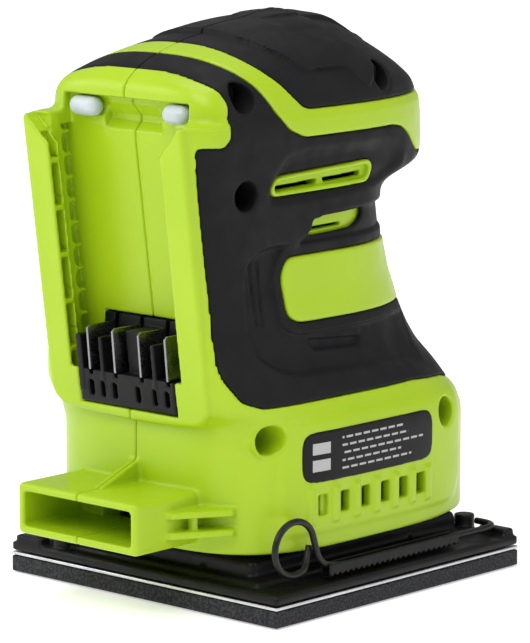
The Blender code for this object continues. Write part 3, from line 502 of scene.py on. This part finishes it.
def make_housing(green, soft):
    grid = Grid((-84.6, -1.2, 16.2), (58.8, 48.8, 173.2), STEP)
    plain, sculpted, long_slot, short_slot = sculpted_body(grid)
    channel = channel_cutters(grid)
    outer = cut(sculpted, channel, 0.7)
    floor_clear = (FLOOR_X - FLOOR_LEAN * grid.z + WALL) - grid.x
    cavity = np.maximum(plain + WALL + SKIN * (grid.z > 58), np.maximum(floor_clear, WALL - channel))
    zone = overmould_zone(grid, long_slot, short_slot)
    seam = SEAM - grid.y
    bottom = SKIRT_BOTTOM + np.clip(grid.x / 56.0, 0, 1) ** 2 * 1.3 - grid.z
    switch = np.maximum(np.maximum(22 - grid.x, grid.y - 12.4), np.maximum(110.8 - grid.z, grid.z - 124.2))
    buffer = rod(grid, (-60.2, 11.9, 147.5), (-60.2, 20.1, 147.5), 3.3)
    shell = cut(meet(outer, bottom, 0.9), cavity, 0.0)
    shell = cut(join(shell, port_field(grid), 1.2), port_hollow(grid), 0.4)
    shell = cut(shell, buffer, 0.5)
    shell = cut(shell, switch, 0.8)
    # Each air slot is a green recess whose dark slit lies along its lower edge.
    for slot, grow, deep, low, high, front in (
        (long_slot, 1.35, 1.9, 123.9, 125.3, 5.0), (short_slot, 0.0, 1.7, 109.9, 110.9, -3.0),
    ):
        rise = 0.028 * (grid.x + 36)
        slit = overlap(low + rise - grid.z, grid.z - high - rise, slot + grow, grid.x - front)
        shell = cut(shell, np.maximum(slot + grow, -(sculpted + deep)), 0.5)
        shell = cut(shell, np.maximum(slit, 20 - grid.y), 0.2)
    lips = np.abs(grid.x + 14.0) + np.abs(grid.z - 124.6) * 0.8 - 2.0
    shell = join(shell, overlap(lips, 124.0 - grid.z, 29.5 - grid.y, grid.y - 34.0), 0.2)
    for x in VENTS_X:
        vent = np.maximum(np.abs(grid.x - x) - VENT_HALF_WIDE, np.abs(grid.z - VENT_Z) - VENT_HALF_HIGH)
        shell = cut(shell, np.maximum(vent, 38 - grid.y), 0.3)

    # A screen behind the vents, on four fins, keeps dust and light out.
    plate = np.maximum(np.abs(grid.y - SCREEN_Y) - SCREEN_HALF_THICK, np.abs(grid.x) - SCREEN_HALF_LONG)
    fins = reduce(np.minimum, [np.abs(grid.x - x) for x in SCREEN_FINS_X]) - SCREEN_HALF_THICK
    fins = overlap(fins, SCREEN_Y - grid.y, plain + 1.0)
    screen = overlap(np.minimum(plate, fins), SCREEN_LOW - grid.z, grid.z - SCREEN_HIGH)
    shell = np.minimum(shell, screen)

    under = -(sculpted + SKIN)
    skin = meet(meet(sculpted, under + SKIN_GAP, 0.3), zone + SKIN_GAP, 0.7)
    skin = meet(cut(skin, switch - 0.3, 1.2), seam + 0.03, 0.15)
    under_palm = outline(grid, BAND_INNER[1:-1] + ((-45, 190), (75, 190), (75, 147)), 0.5)

    for side, word in ((1, "left"), (-1, "right")):
        skin_field, covering = skin, under
        if side < 0:
            lining = bores(grid, BORE_R + 1.4)
            covering = np.minimum(under, np.maximum(lining, zone))
            lined = np.maximum(meet(sculpted, lining + SKIN_GAP, 0.3), zone + SKIN_GAP)
            skin_field = cut(join(skin, lined), bores(grid, BORE_R), 1.0)
            boss = np.maximum(meet(sculpted, lining, 0.0), BORE_FLOOR - 3.0 - grid.y)
            shell = cut(join(join(shell, boss), rim_tubes(grid), 1.2), bores(grid, BORE_R), 0.9)
        shell_field = meet(cut(shell, np.maximum(zone, covering), 0.5), seam, 0.12)
        piece = surface_nets(f"shell_{word}", shell_field, grid, side < 0, 0.55)
        place(piece, green, "housing", "green_plastic", f"housing_{word}")
        grip = surface_nets(f"soft_grip_{word}", np.maximum(skin_field, -under_palm), grid, side < 0, 0.6)
        place(grip, soft, "housing", "black_overmould", f"grip_{word}")
        palm = surface_nets(f"soft_palm_{word}", np.maximum(skin_field, under_palm), grid, side < 0, 0.6)
        place(palm, soft, "housing", "black_overmould", f"palm_pad_{word}")


# ---- materials -----------------------------------------------------------------------------
class Look:
    """A Principled material and the nodes that feed it."""

    def __init__(self, name, colour, roughness, metallic=0.0, **shader_values):
        self.material = bpy.data.materials.new(name)
        self.material.use_nodes = True
        self.tree = self.material.node_tree
        self.shader = self.tree.nodes["Principled BSDF"]
        self.shader.inputs["Base Color"].default_value = (*colour, 1.0)
        self.shader.inputs["Roughness"].default_value = roughness
        self.shader.inputs["Metallic"].default_value = metallic
        for socket, value in shader_values.items():
            self.shader.inputs[socket].default_value = value
        self.colour, self.roughness = colour, roughness
        self.place = self.tree.nodes.new("ShaderNodeTexCoord").outputs["Object"]
        self.bump = None

    def node(self, kind, **values):
        made = self.tree.nodes.new(kind)
        for key, value in values.items():
            if key in made.inputs:
                made.inputs[key].default_value = value
            else:
                setattr(made, key, value)
        return made

    def noise(self, scale, detail=3.0, stretch=(1, 1, 1), roughness=0.5):
        """A noise whose features are 1/scale metres across."""
        where = self.node("ShaderNodeMapping")
        where.inputs["Scale"].default_value = stretch
        self.tree.links.new(self.place, where.inputs["Vector"])
        made = self.node("ShaderNodeTexNoise", Scale=scale, Detail=detail, Roughness=roughness)
        self.tree.links.new(where.outputs["Vector"], made.inputs["Vector"])
        return made.outputs["Fac"]

    def ranged(self, source, low, high, from_low=0.3, from_high=0.7):
        made = self.node("ShaderNodeMapRange")
        made.inputs["From Min"].default_value, made.inputs["From Max"].default_value = from_low, from_high
        made.inputs["To Min"].default_value, made.inputs["To Max"].default_value = low, high
        self.tree.links.new(source, made.inputs["Value"])
        return made.outputs["Result"]

    def mixed_colour(self, source, first, second):
        mix = self.node("ShaderNodeMix", data_type="RGBA")
        mix.inputs["A"].default_value = (*first, 1.0)
        mix.inputs["B"].default_value = (*second, 1.0)
        self.tree.links.new(source, mix.inputs["Factor"])
        return mix.outputs["Result"]

    def vary_colour(self, source, second):
        self.tree.links.new(self.mixed_colour(source, self.colour, second), self.shader.inputs["Base Color"])

    def vary_roughness(self, source, low, high):
        self.tree.links.new(self.ranged(source, low, high), self.shader.inputs["Roughness"])

    def add_bump(self, source, distance, strength=1.0):
        made = self.node("ShaderNodeBump", Strength=strength, Distance=distance)
        self.tree.links.new(source, made.inputs["Height"])
        if self.bump is not None:
            self.tree.links.new(self.bump.outputs["Normal"], made.inputs["Normal"])
        self.tree.links.new(made.outputs["Normal"], self.shader.inputs["Normal"])
        self.bump = made


def green_look():
    look = Look("lime_moulded_plastic", (0.345, 0.515, 0.006), 0.36)
    look.shader.inputs["Specular IOR Level"].default_value = 0.32
    look.shader.inputs["Coat Weight"].default_value = 0.12
    look.shader.inputs["Coat Roughness"].default_value = 0.25
    look.shader.inputs["Subsurface Weight"].default_value = 0.06
    look.shader.inputs["Subsurface Radius"].default_value = (0.002, 0.003, 0.0008)
    look.vary_colour(look.ranged(look.noise(45, 4), 0.0, 1.0), (0.37, 0.54, 0.009))
    look.vary_roughness(look.noise(130, 4), 0.30, 0.43)
    look.add_bump(look.noise(3200, 2), 0.00003, 0.5)
    look.add_bump(look.noise(60, 2), 0.00006, 0.4)
    return look.material


def soft_look():
    look = Look("black_soft_touch", (0.005, 0.005, 0.006), 0.5)
    look.shader.inputs["Specular IOR Level"].default_value = 0.16
    look.vary_colour(look.ranged(look.noise(70, 5), 0.0, 1.0), (0.008, 0.008, 0.009))
    look.vary_roughness(look.noise(160, 4), 0.5, 0.68)
    look.add_bump(look.noise(2600, 3), 0.00006, 0.7)
    return look.material


def hard_black_look(name="black_moulded_plastic", roughness=0.38):
    look = Look(name, (0.004, 0.004, 0.004), roughness)
    look.shader.inputs["Specular IOR Level"].default_value = 0.18
    look.vary_colour(look.ranged(look.noise(90, 4), 0.0, 1.0), (0.008, 0.008, 0.008))
    look.vary_roughness(look.noise(220, 4), roughness - 0.08, roughness + 0.1)
    look.add_bump(look.noise(2400, 2), 0.00005, 0.5)
    return look.material


def metal_look(name, colour, roughness, grain=900):
    look = Look(name, colour, roughness, 1.0)
    look.vary_colour(look.ranged(look.noise(120, 4), 0.0, 1.0), tuple(0.75 * c for c in colour))
    look.vary_roughness(look.noise(grain, 3, (1, 1, 12)), roughness - 0.08, roughness + 0.16)
    look.add_bump(look.noise(grain, 2, (1, 1, 10)), 0.00002, 0.4)
    return look.material


def plain_look(name, colour, roughness, second, grain=1500, depth=0.00004, **shader_values):
    """A look for foam, rubber, windings and board: two colours mixed by a fine noise, with a fine bump."""
    look = Look(name, colour, roughness)
    for socket, value in shader_values.items():
        look.shader.inputs[socket.replace("_", " ")].default_value = value
    look.vary_colour(look.ranged(look.noise(grain, 3), 0.0, 1.0, 0.4, 0.62), second)
    look.vary_roughness(look.noise(grain / 6, 3), roughness - 0.1, roughness + 0.08)
    look.add_bump(look.noise(grain, 3), depth, 0.8)
    return look.material


def buffer_look():
    look = Look("translucent_silicone", (0.45, 0.51, 0.52), 0.36)
    look.shader.inputs["Subsurface Weight"].default_value = 0.3
    look.shader.inputs["Subsurface Radius"].default_value = (0.003, 0.003, 0.003)
    look.vary_colour(look.ranged(look.noise(300, 3), 0.0, 1.0), (0.53, 0.58, 0.59))
    look.vary_roughness(look.noise(500, 3), 0.28, 0.45)
    look.add_bump(look.noise(1500, 2), 0.00003, 0.5)
    return look.material


def label_look():
    """A dark printed film with rows of plain light bars and two plain blocks, which spell nothing."""
    look = Look("printed_label", (0.004, 0.004, 0.004), 0.36)
    look.shader.inputs["Specular IOR Level"].default_value = 0.18
    parts = look.node("ShaderNodeSeparateXYZ")
    look.tree.links.new(look.place, parts.inputs["Vector"])

    def maths(operation, *values):
        made = look.node("ShaderNodeMath", operation=operation)
        for socket, value in zip(made.inputs, values):
            if isinstance(value, (int, float)):
                socket.default_value = value
            else:
                look.tree.links.new(value, socket)
        return made.outputs["Value"]

    def between(value, low, high):
        return maths("MULTIPLY", maths("GREATER_THAN", value, low), maths("LESS_THAN", value, high))

    along, up = parts.outputs["X"], parts.outputs["Z"]
    row = maths("DIVIDE", maths("SUBTRACT", up, 0.0402), 0.0023)
    row_number = maths("FLOOR", row)
    stripe = between(maths("FRACT", row), 0.34, 0.62)
    gaps = maths("SINE", maths("ADD", maths("MULTIPLY", along, 1650.0), maths("MULTIPLY", row_number, 2.4)))
    ragged = maths("SINE", maths("MULTIPLY", row_number, 4.1))
    end = maths("ADD", maths("MULTIPLY", ragged, 0.006), 0.012)
    stripe = maths("MULTIPLY", stripe, between(up, 0.0402, 0.0517))
    bars = maths("MULTIPLY", stripe, maths("GREATER_THAN", gaps, -0.72))
    inside = maths("MULTIPLY", maths("GREATER_THAN", along, -0.0195), maths("LESS_THAN", along, end))
    bars = maths("MULTIPLY", bars, inside)
    rows = maths("ADD", between(up, 0.0415, 0.0450), between(up, 0.0466, 0.0500))
    blocks = maths("MULTIPLY", between(along, -0.0315, -0.0245), rows)
    ink = maths("MINIMUM", maths("ADD", bars, blocks), 1.0)
    printed = look.mixed_colour(ink, look.colour, (0.42, 0.42, 0.42))
    look.tree.links.new(printed, look.shader.inputs["Base Color"])
    look.vary_roughness(look.noise(400, 3), 0.26, 0.4)
    look.add_bump(look.noise(1800, 2), 0.00002, 0.4)
    return look.material


def make_label(look):
    grid = Grid((-37, 40, 36.5), (26, 49.5, 55.5), FINE)
    sculpted = sculpted_body(grid)[1]
    (rear, low), (front, high) = LABEL_LOW, LABEL_HIGH
    corners = ((rear, low), (rear, high), (front, high), (front, low))
    film = np.maximum(np.abs(sculpted + 0.1) - 0.42, outline(grid, corners, 2.6))
    place(surface_nets("label_film", film, grid, True, 0.5), look, "housing", "label", "rating_label")


def make_buffers(look):
    """Soft capsules with a fine moulding line round the middle."""
    for word, centre, half in (("left", 17.2, 5.8), ("right", -19.6, 4.8)):
        radius = 2.9
        profile = []
        for step in range(33):
            angle = math.pi * step / 32
            shift = math.copysign(half - radius, math.cos(angle)) if step != 16 else 0.0
            profile.append((radius * math.cos(angle) + shift, radius * math.sin(angle)))
        profile[16] = (0.0, radius + 0.08)
        shape = bmesh.new()
        ring = [shape.verts.new((0, y, r)) for y, r in profile]
        edges = [shape.edges.new(pair) for pair in zip(ring, ring[1:])]
        bmesh.ops.spin(
            shape, geom=ring + edges, axis=(0, 1, 0), cent=(0, 0, 0),
            steps=40, angle=math.tau, use_merge=True,
        )
        bmesh.ops.remove_doubles(shape, verts=shape.verts, dist=1e-3)
        bmesh.ops.translate(shape, vec=(-60.2, centre, 147.5), verts=shape.verts)
        piece = from_bmesh(f"buffer_{word}", shape, 60)
        place(piece, look, "housing", "translucent_white", f"battery_buffer_{word}")


BLADES_Y = (14.4, 4.0, -6.6, -17.4)


def make_terminals(black, steel):
    grid = Grid((-63.5, -20.2, 57.8), (-44, 20.2, 85.6), FINE)
    depth = depth_in_mount(grid)
    side = np.abs(grid.y) - 19.5
    base = np.maximum(np.maximum(-depth, grid.x + 45.8), np.maximum(58.9 - grid.z, grid.z - 68.9))
    block = meet(base, side, 0.5)
    back = overlap(-51.5 - grid.x + 0.1 * (grid.z - 76), grid.x + 45.8, 60 - grid.z, grid.z - 84.6)
    block = join(block, meet(back, side, 0.5), 0.4)
    wall_rear = -58.6 - 0.12 * (grid.z - 69) - grid.x
    for y, half in ((-1.3, 3.0), (18.4, 1.0), (9.4, 0.7), (-12.0, 0.7)):
        tall = 82.0 if half > 2 else 79.5
        wall = overlap(wall_rear + (0 if half > 2 else -3.5), grid.x + 47, np.abs(grid.y - y) - half)
        block = join(block, meet(wall, np.maximum(grid.z - tall, 62 - grid.z), 0.6), 0.3)
    for y in (14.7, 9.9, 5.1, -4.5, -11.4, -16.3):
        slot = np.hypot(grid.y - y, np.maximum(np.abs(grid.z - 63.4) - 1.5, 0)) - 0.95
        block = cut(block, np.maximum(slot, depth - 7), 0.4)
    for y in BLADES_Y:
        block = cut(block, np.maximum(np.abs(grid.y - y) - 0.7, 67.5 - grid.z))
    piece = surface_nets("terminal_carrier", block, grid, False, 0.6)
    place(piece, black, "housing", "black_plastic", "terminal_block")
    for index, y in enumerate(BLADES_Y, 1):
        shape = bmesh.new()
        corners = ((-62.2, 69), (-63.5, 81.6), (-62.6, 82.5), (-51, 82.5), (-51, 69))
        face = shape.faces.new([shape.verts.new((x, y - 0.4, z)) for x, z in corners])
        swept = bmesh.ops.extrude_face_region(shape, geom=[face])["geom"]
        far_side = [v for v in swept if isinstance(v, bmesh.types.BMVert)]
        bmesh.ops.translate(shape, vec=(0, 0.8, 0), verts=far_side)
        bmesh.ops.bevel(shape, geom=shape.edges[:], offset=0.18, segments=2, affect="EDGES", profile=0.5)
        blade = from_bmesh(f"contact_blade_{index}", shape)
        place(blade, steel, "housing", "steel", f"terminal_blade_{index}")


def make_pad(black, alloy, foam_look, wire_look):
    foam = bevelled_box("foam_cushion", (-56, -55, 0), (56, 55, 4.9), 0.5)
    place(foam, foam_look, "pad", "foam", "foam_pad")
    sheet = bevelled_box("bright_sheet", (-56, -55, 5.2), (56, 55, 6.2), 0.3)
    place(sheet, alloy, "pad", "aluminium", "backing_sheet")

    grid = Grid((-56.6, -55.6, 5.8), (56.6, 55.6, 24.4), 0.6)
    x, y, z = np.abs(grid.x), np.abs(grid.y), grid.z
    plate = rounded_box(grid, (-56, -55, 6.5), (56, 55, 9.4), 0.7)
    step = rounded_box(grid, (-51.5, -43.5, 7), (51.5, 43.5, 10.8), 1.0)
    carrier = join(plate, step, 0.8)
    tray = rounded_box(grid, (-47.4, -37.6, 4), (47.4, 37.6, 16.2), 2.5)
    hollow = rounded_box(grid, (-44.8, -35.0, 8.4), (44.8, 35.0, 30), 2.0)
    carrier = join(carrier, tray, 1.6)
    slope = (z - 9.0) + 0.55 * (np.maximum(x - 47.4, 0) + np.maximum(y - 37.6, 0)) - 3.2
    gusset = np.maximum(np.maximum(np.abs(x - 24.0) - 0.9, slope), np.maximum(y - 43.5, 9.0 - z))
    gusset = join(gusset, overlap(np.abs(y - 18.0) - 0.9, slope, x - 51.5, 9.0 - z))
    carrier = cut(join(carrier, gusset, 0.8), hollow, 0.8)
    radius = np.hypot(grid.x, grid.y)
    carrier = join(carrier, np.maximum(np.abs(radius - 12.9) - 1.6, np.maximum(8.0 - z, z - 23.8)), 0.8)
    spokes = np.minimum(np.abs(grid.x), np.abs(grid.y)) - 0.9
    carrier = join(carrier, overlap(spokes, 13.0 - radius, z - 13.0, x - 46, y - 36), 0.6)
    for side in (-1, 1):
        off = np.hypot(grid.x + side * 51.5, grid.y - side * 37) - 3.2
        carrier = join(carrier, meet(off, np.maximum(z - 14.4, 7.0 - z), 0.5), 0.8)
        mid_x, mid_y = -side * 53.6, side * 48
        rise = rounded_box(grid, (mid_x - 2.2, mid_y - 5.5, 8), (mid_x + 2.2, mid_y + 5.5, 11.6), 0.8)
        carrier = join(carrier, rise, 0.6)
    piece = surface_nets("carrier_plate", carrier, grid, False, 0.45)
    place(piece, black, "pad", "black_plastic", "pad_carrier")
    for side, word in ((1, "left"), (-1, "right")):
        make_clamp(side, word, black, wire_look)


CLAMP_Y, CLAMP_Z = 50.8, 12.8


def make_clamp(side, word, black, wire_look):
    """A spring wire with its finger loop, and the toothed jaw round its straight run."""
    points = []
    points += [(-34.6, CLAMP_Y - 2.3, 20.4), (-35.6, CLAMP_Y - 1.9, 17.8), (-37.4, CLAMP_Y - 1.1, 15.3)]
    for step in range(25):
        angle = math.radians(-62 - 272 * step / 24)
        points.append((-43.5 + 8.6 * math.cos(angle), CLAMP_Y, 21.2 + 8.0 * math.sin(angle)))
    points += [(-34.4, CLAMP_Y, 20.6), (-33.2, CLAMP_Y, 17.0), (-30.8, CLAMP_Y, 14.6), (-27, CLAMP_Y, 13.4)]
    points += [(x, CLAMP_Y, CLAMP_Z) for x in (-22, -10, 5, 20, 35, 44)]
    points += [(47.5, CLAMP_Y - 0.3, CLAMP_Z), (49.8, CLAMP_Y - 1.4, CLAMP_Z), (51.1, CLAMP_Y - 3.5, CLAMP_Z)]
    points += [(51.5, CLAMP_Y - 6, CLAMP_Z), (51.5, CLAMP_Y - 9, CLAMP_Z)]
    curve = bpy.data.curves.new(f"wire_clamp_{word}", "CURVE")
    curve.dimensions, curve.bevel_depth, curve.bevel_resolution = "3D", 0.00102, 4
    curve.use_fill_caps = True
    line = curve.splines.new("NURBS")
    line.points.add(len(points) - 1)
    for point, (x, y, z) in zip(line.points, points):
        point.co = (-side * x * MM, side * y * MM, z * MM, 1.0)
    line.use_endpoint_u, line.order_u, line.resolution_u = True, 3, 6
    guide = bpy.data.objects.new(f"wire_clamp_{word}", curve)
    bpy.context.scene.collection.objects.link(guide)
    graph = bpy.context.evaluated_depsgraph_get()
    mesh = bpy.data.meshes.new_from_object(guide.evaluated_get(graph))
    bpy.data.objects.remove(guide)
    shape = bmesh.new()
    shape.from_mesh(mesh)
    shape.transform(Matrix.Scale(1 / MM, 4))
    bmesh.ops.remove_doubles(shape, verts=shape.verts, dist=1e-3)
    wire = from_bmesh(f"wire_clamp_{word}", shape, 50)
    place(wire, wire_look, f"clamp_{word}", "black_steel", f"clamp_wire_{word}")

    grid = Grid((-30.6, CLAMP_Y - 2.4, CLAMP_Z - 2.8), (30.6, CLAMP_Y + 2.4, CLAMP_Z + 2.4), FINE)
    jaw = rounded_box(grid, (-30, CLAMP_Y - 1.9, CLAMP_Z - 2.3), (30, CLAMP_Y + 1.9, CLAMP_Z + 1.6), 0.5)
    teeth = np.abs((grid.x / 2.4) - np.round(grid.x / 2.4)) * 2.4
    jaw = cut(jaw, np.maximum(0.5 - teeth + 0.3, grid.z - CLAMP_Z + 1.5), 0.2)
    jaw = cut(jaw, np.maximum(np.abs(grid.y - CLAMP_Y) - 1.25, CLAMP_Z - 1.25 - grid.z), 0.3)
    piece = surface_nets(f"toothed_jaw_{word}", jaw, grid, side < 0, 0.5)
    place(piece, black, f"clamp_{word}", "black_plastic", f"clamp_jaw_{word}")


def make_rocker(look):
    """The switch under the front of the palm, with grip ribs across its face."""
    grid = Grid((25, -12.8, 111.6), (38.4, 12.8, 123.4), FINE)
    sides = (
        (26, 113.6), (34.5, 112.7), (37.2, 114.4), (36.2, 117.5), (37.2, 120.6), (34.5, 122.3), (26, 121.4),
    )
    rocker = meet(outline(grid, sides, 0.5), np.abs(grid.y) - 12.0, 1.2)
    ribs = np.abs((grid.z - 117.5) / 1.6 - np.round((grid.z - 117.5) / 1.6)) * 1.6
    grooved = 0.35 * fade(ribs - 0.3, 0.5) * fade(np.abs(grid.y) - 9.5, 1.0) * fade(35.0 - grid.x, 1.0)
    piece = surface_nets("ribbed_rocker", rocker + grooved, grid, False, 0.5)
    place(piece, look, "switch", "black_plastic", "switch_rocker")


def dress_inner_parts(looks):
    """Materials for the CAD nodes that stay as they are, by the record's slot."""
    slots = {part["node"]: part["material_slot"] for part in frame["record"]["subparts"]}
    for name, node in frame["nodes"].items():
        if not node.hide_render:
            look = looks["black_steel" if name.startswith("housing_screw") else slots[name]]
            node.data.materials.clear()
            node.data.materials.append(look)


green, soft, hard_black = green_look(), soft_look(), hard_black_look()
steel = metal_look("zinc_plated_steel", (0.58, 0.58, 0.60), 0.30)
alloy = metal_look("bright_sheet_metal", (0.66, 0.66, 0.68), 0.30)
foam_look = plain_look(
    "speckled_foam", (0.016, 0.016, 0.018), 0.85, (0.045, 0.045, 0.05), 1400, 0.0002, Specular_IOR_Level=0.2,
)
wire_look = plain_look(
    "black_oxide_steel", (0.005, 0.005, 0.005), 0.38, (0.009, 0.009, 0.009), 700, 0.00003,
    Specular_IOR_Level=0.3,
)
rubber_look = plain_look("black_rubber", (0.018, 0.018, 0.018), 0.75, (0.03, 0.03, 0.03), 900, 0.00006)
white = buffer_look()
make_housing(green, soft)
make_label(label_look())
make_buffers(white)
make_terminals(hard_black, metal_look("tinned_copper", (0.30, 0.30, 0.31), 0.24))
make_pad(hard_black, alloy, foam_look, wire_look)
make_rocker(hard_black_look("switch_plastic", 0.45))
dress_inner_parts({
    "steel": steel, "aluminium": alloy, "black_plastic": hard_black, "rubber": rubber_look, "foam": foam_look,
    "black_steel": wire_look, "translucent_white": white, "green_plastic": green, "black_overmould": soft,
    "copper": metal_look("winding_copper", (0.62, 0.30, 0.16), 0.35),
    "ferrite": plain_look("ferrite_magnet", (0.03, 0.03, 0.032), 0.55, (0.05, 0.05, 0.052), 800),
    "circuit_board": plain_look("solder_mask", (0.01, 0.10, 0.04), 0.4, (0.015, 0.14, 0.05), 300),
    "red_lead": plain_look("red_insulation", (0.45, 0.012, 0.012), 0.45, (0.55, 0.02, 0.02), 500),
})


# ---- stage ---------------------------------------------------------------------------------
def studio():
    shape = bmesh.new()
    bmesh.ops.create_grid(shape, x_segments=1, y_segments=1, size=6000)
    floor = from_bmesh("floor", shape)
    floor.location.z = -0.0004
    look = Look("pale_floor", (0.86, 0.86, 0.86), 0.9)
    look.shader.inputs["Emission Color"].default_value = (1, 1, 1, 1)
    away = look.node("ShaderNodeVectorMath", operation="LENGTH")
    look.tree.links.new(look.place, away.inputs["Vector"])
    glow = look.ranged(away.outputs["Value"], 0.42, 0.72, 0.25, 1.6)
    look.tree.links.new(glow, look.shader.inputs["Emission Strength"])
    floor.data.materials.append(look.material)
    world = bpy.data.worlds.new("studio")
    world.use_nodes = True
    nodes, links = world.node_tree.nodes, world.node_tree.links
    soft_light, backdrop = nodes["Background"], nodes.new("ShaderNodeBackground")
    soft_light.inputs["Color"].default_value = backdrop.inputs["Color"].default_value = (1, 1, 1, 1)
    soft_light.inputs["Strength"].default_value, backdrop.inputs["Strength"].default_value = 0.40, 1.05
    mix = nodes.new("ShaderNodeMixShader")
    links.new(nodes.new("ShaderNodeLightPath").outputs["Is Camera Ray"], mix.inputs["Fac"])
    links.new(soft_light.outputs["Background"], mix.inputs[1])
    links.new(backdrop.outputs["Background"], mix.inputs[2])
    links.new(mix.outputs["Shader"], nodes["World Output"].inputs["Surface"])
    bpy.context.scene.world = world
    bpy.context.scene.view_settings.view_transform = "Standard"
    for name, place_at, size, power in (
        ("key", (-0.9, -0.25, 1.1), 0.9, 10), ("left", (-0.75, 0.85, 0.6), 0.8, 5),
        ("side", (0.35, -1.2, 0.8), 0.9, 4.5), ("top", (0.1, 0.2, 1.5), 1.0, 7),
    ):
        lamp = bpy.data.lights.new(name, "AREA")
        lamp.energy, lamp.size = power, size
        made = bpy.data.objects.new(name, lamp)
        made.location = place_at
        made.rotation_mode = "QUATERNION"
        made.rotation_quaternion = (Vector(place_at) - Vector((0, 0, 0.08))).to_track_quat("Z", "Y")
        bpy.context.scene.collection.objects.link(made)


def camera():
    """A long lens, from behind on the right, a little above."""
    azimuth, elevation, roll, distance = math.radians(-47.77), math.radians(9.615), math.radians(0.11), 1.1863
    level = math.cos(elevation)
    back = Vector((math.sin(azimuth) * level, -math.cos(azimuth) * level, math.sin(elevation)))
    right = (-back).cross(Vector((0, 0, 1))).normalized()
    up = right.cross(-back)
    right, up = right * math.cos(roll) + up * math.sin(roll), up * math.cos(roll) - right * math.sin(roll)
    target = right * -0.000409 + up * -0.007615 + Vector((0, 0, 0.085))
    lens = bpy.data.cameras.new("camera")
    lens.sensor_width, lens.lens = 36.0, 216.95
    lens.clip_start = 0.05
    made = bpy.data.objects.new("camera", lens)
    turned = Matrix((right, up, back)).transposed().to_4x4()
    made.matrix_world = Matrix.Translation(target + back * distance) @ turned
    bpy.context.scene.collection.objects.link(made)
    bpy.context.scene.camera = made


studio()
camera()
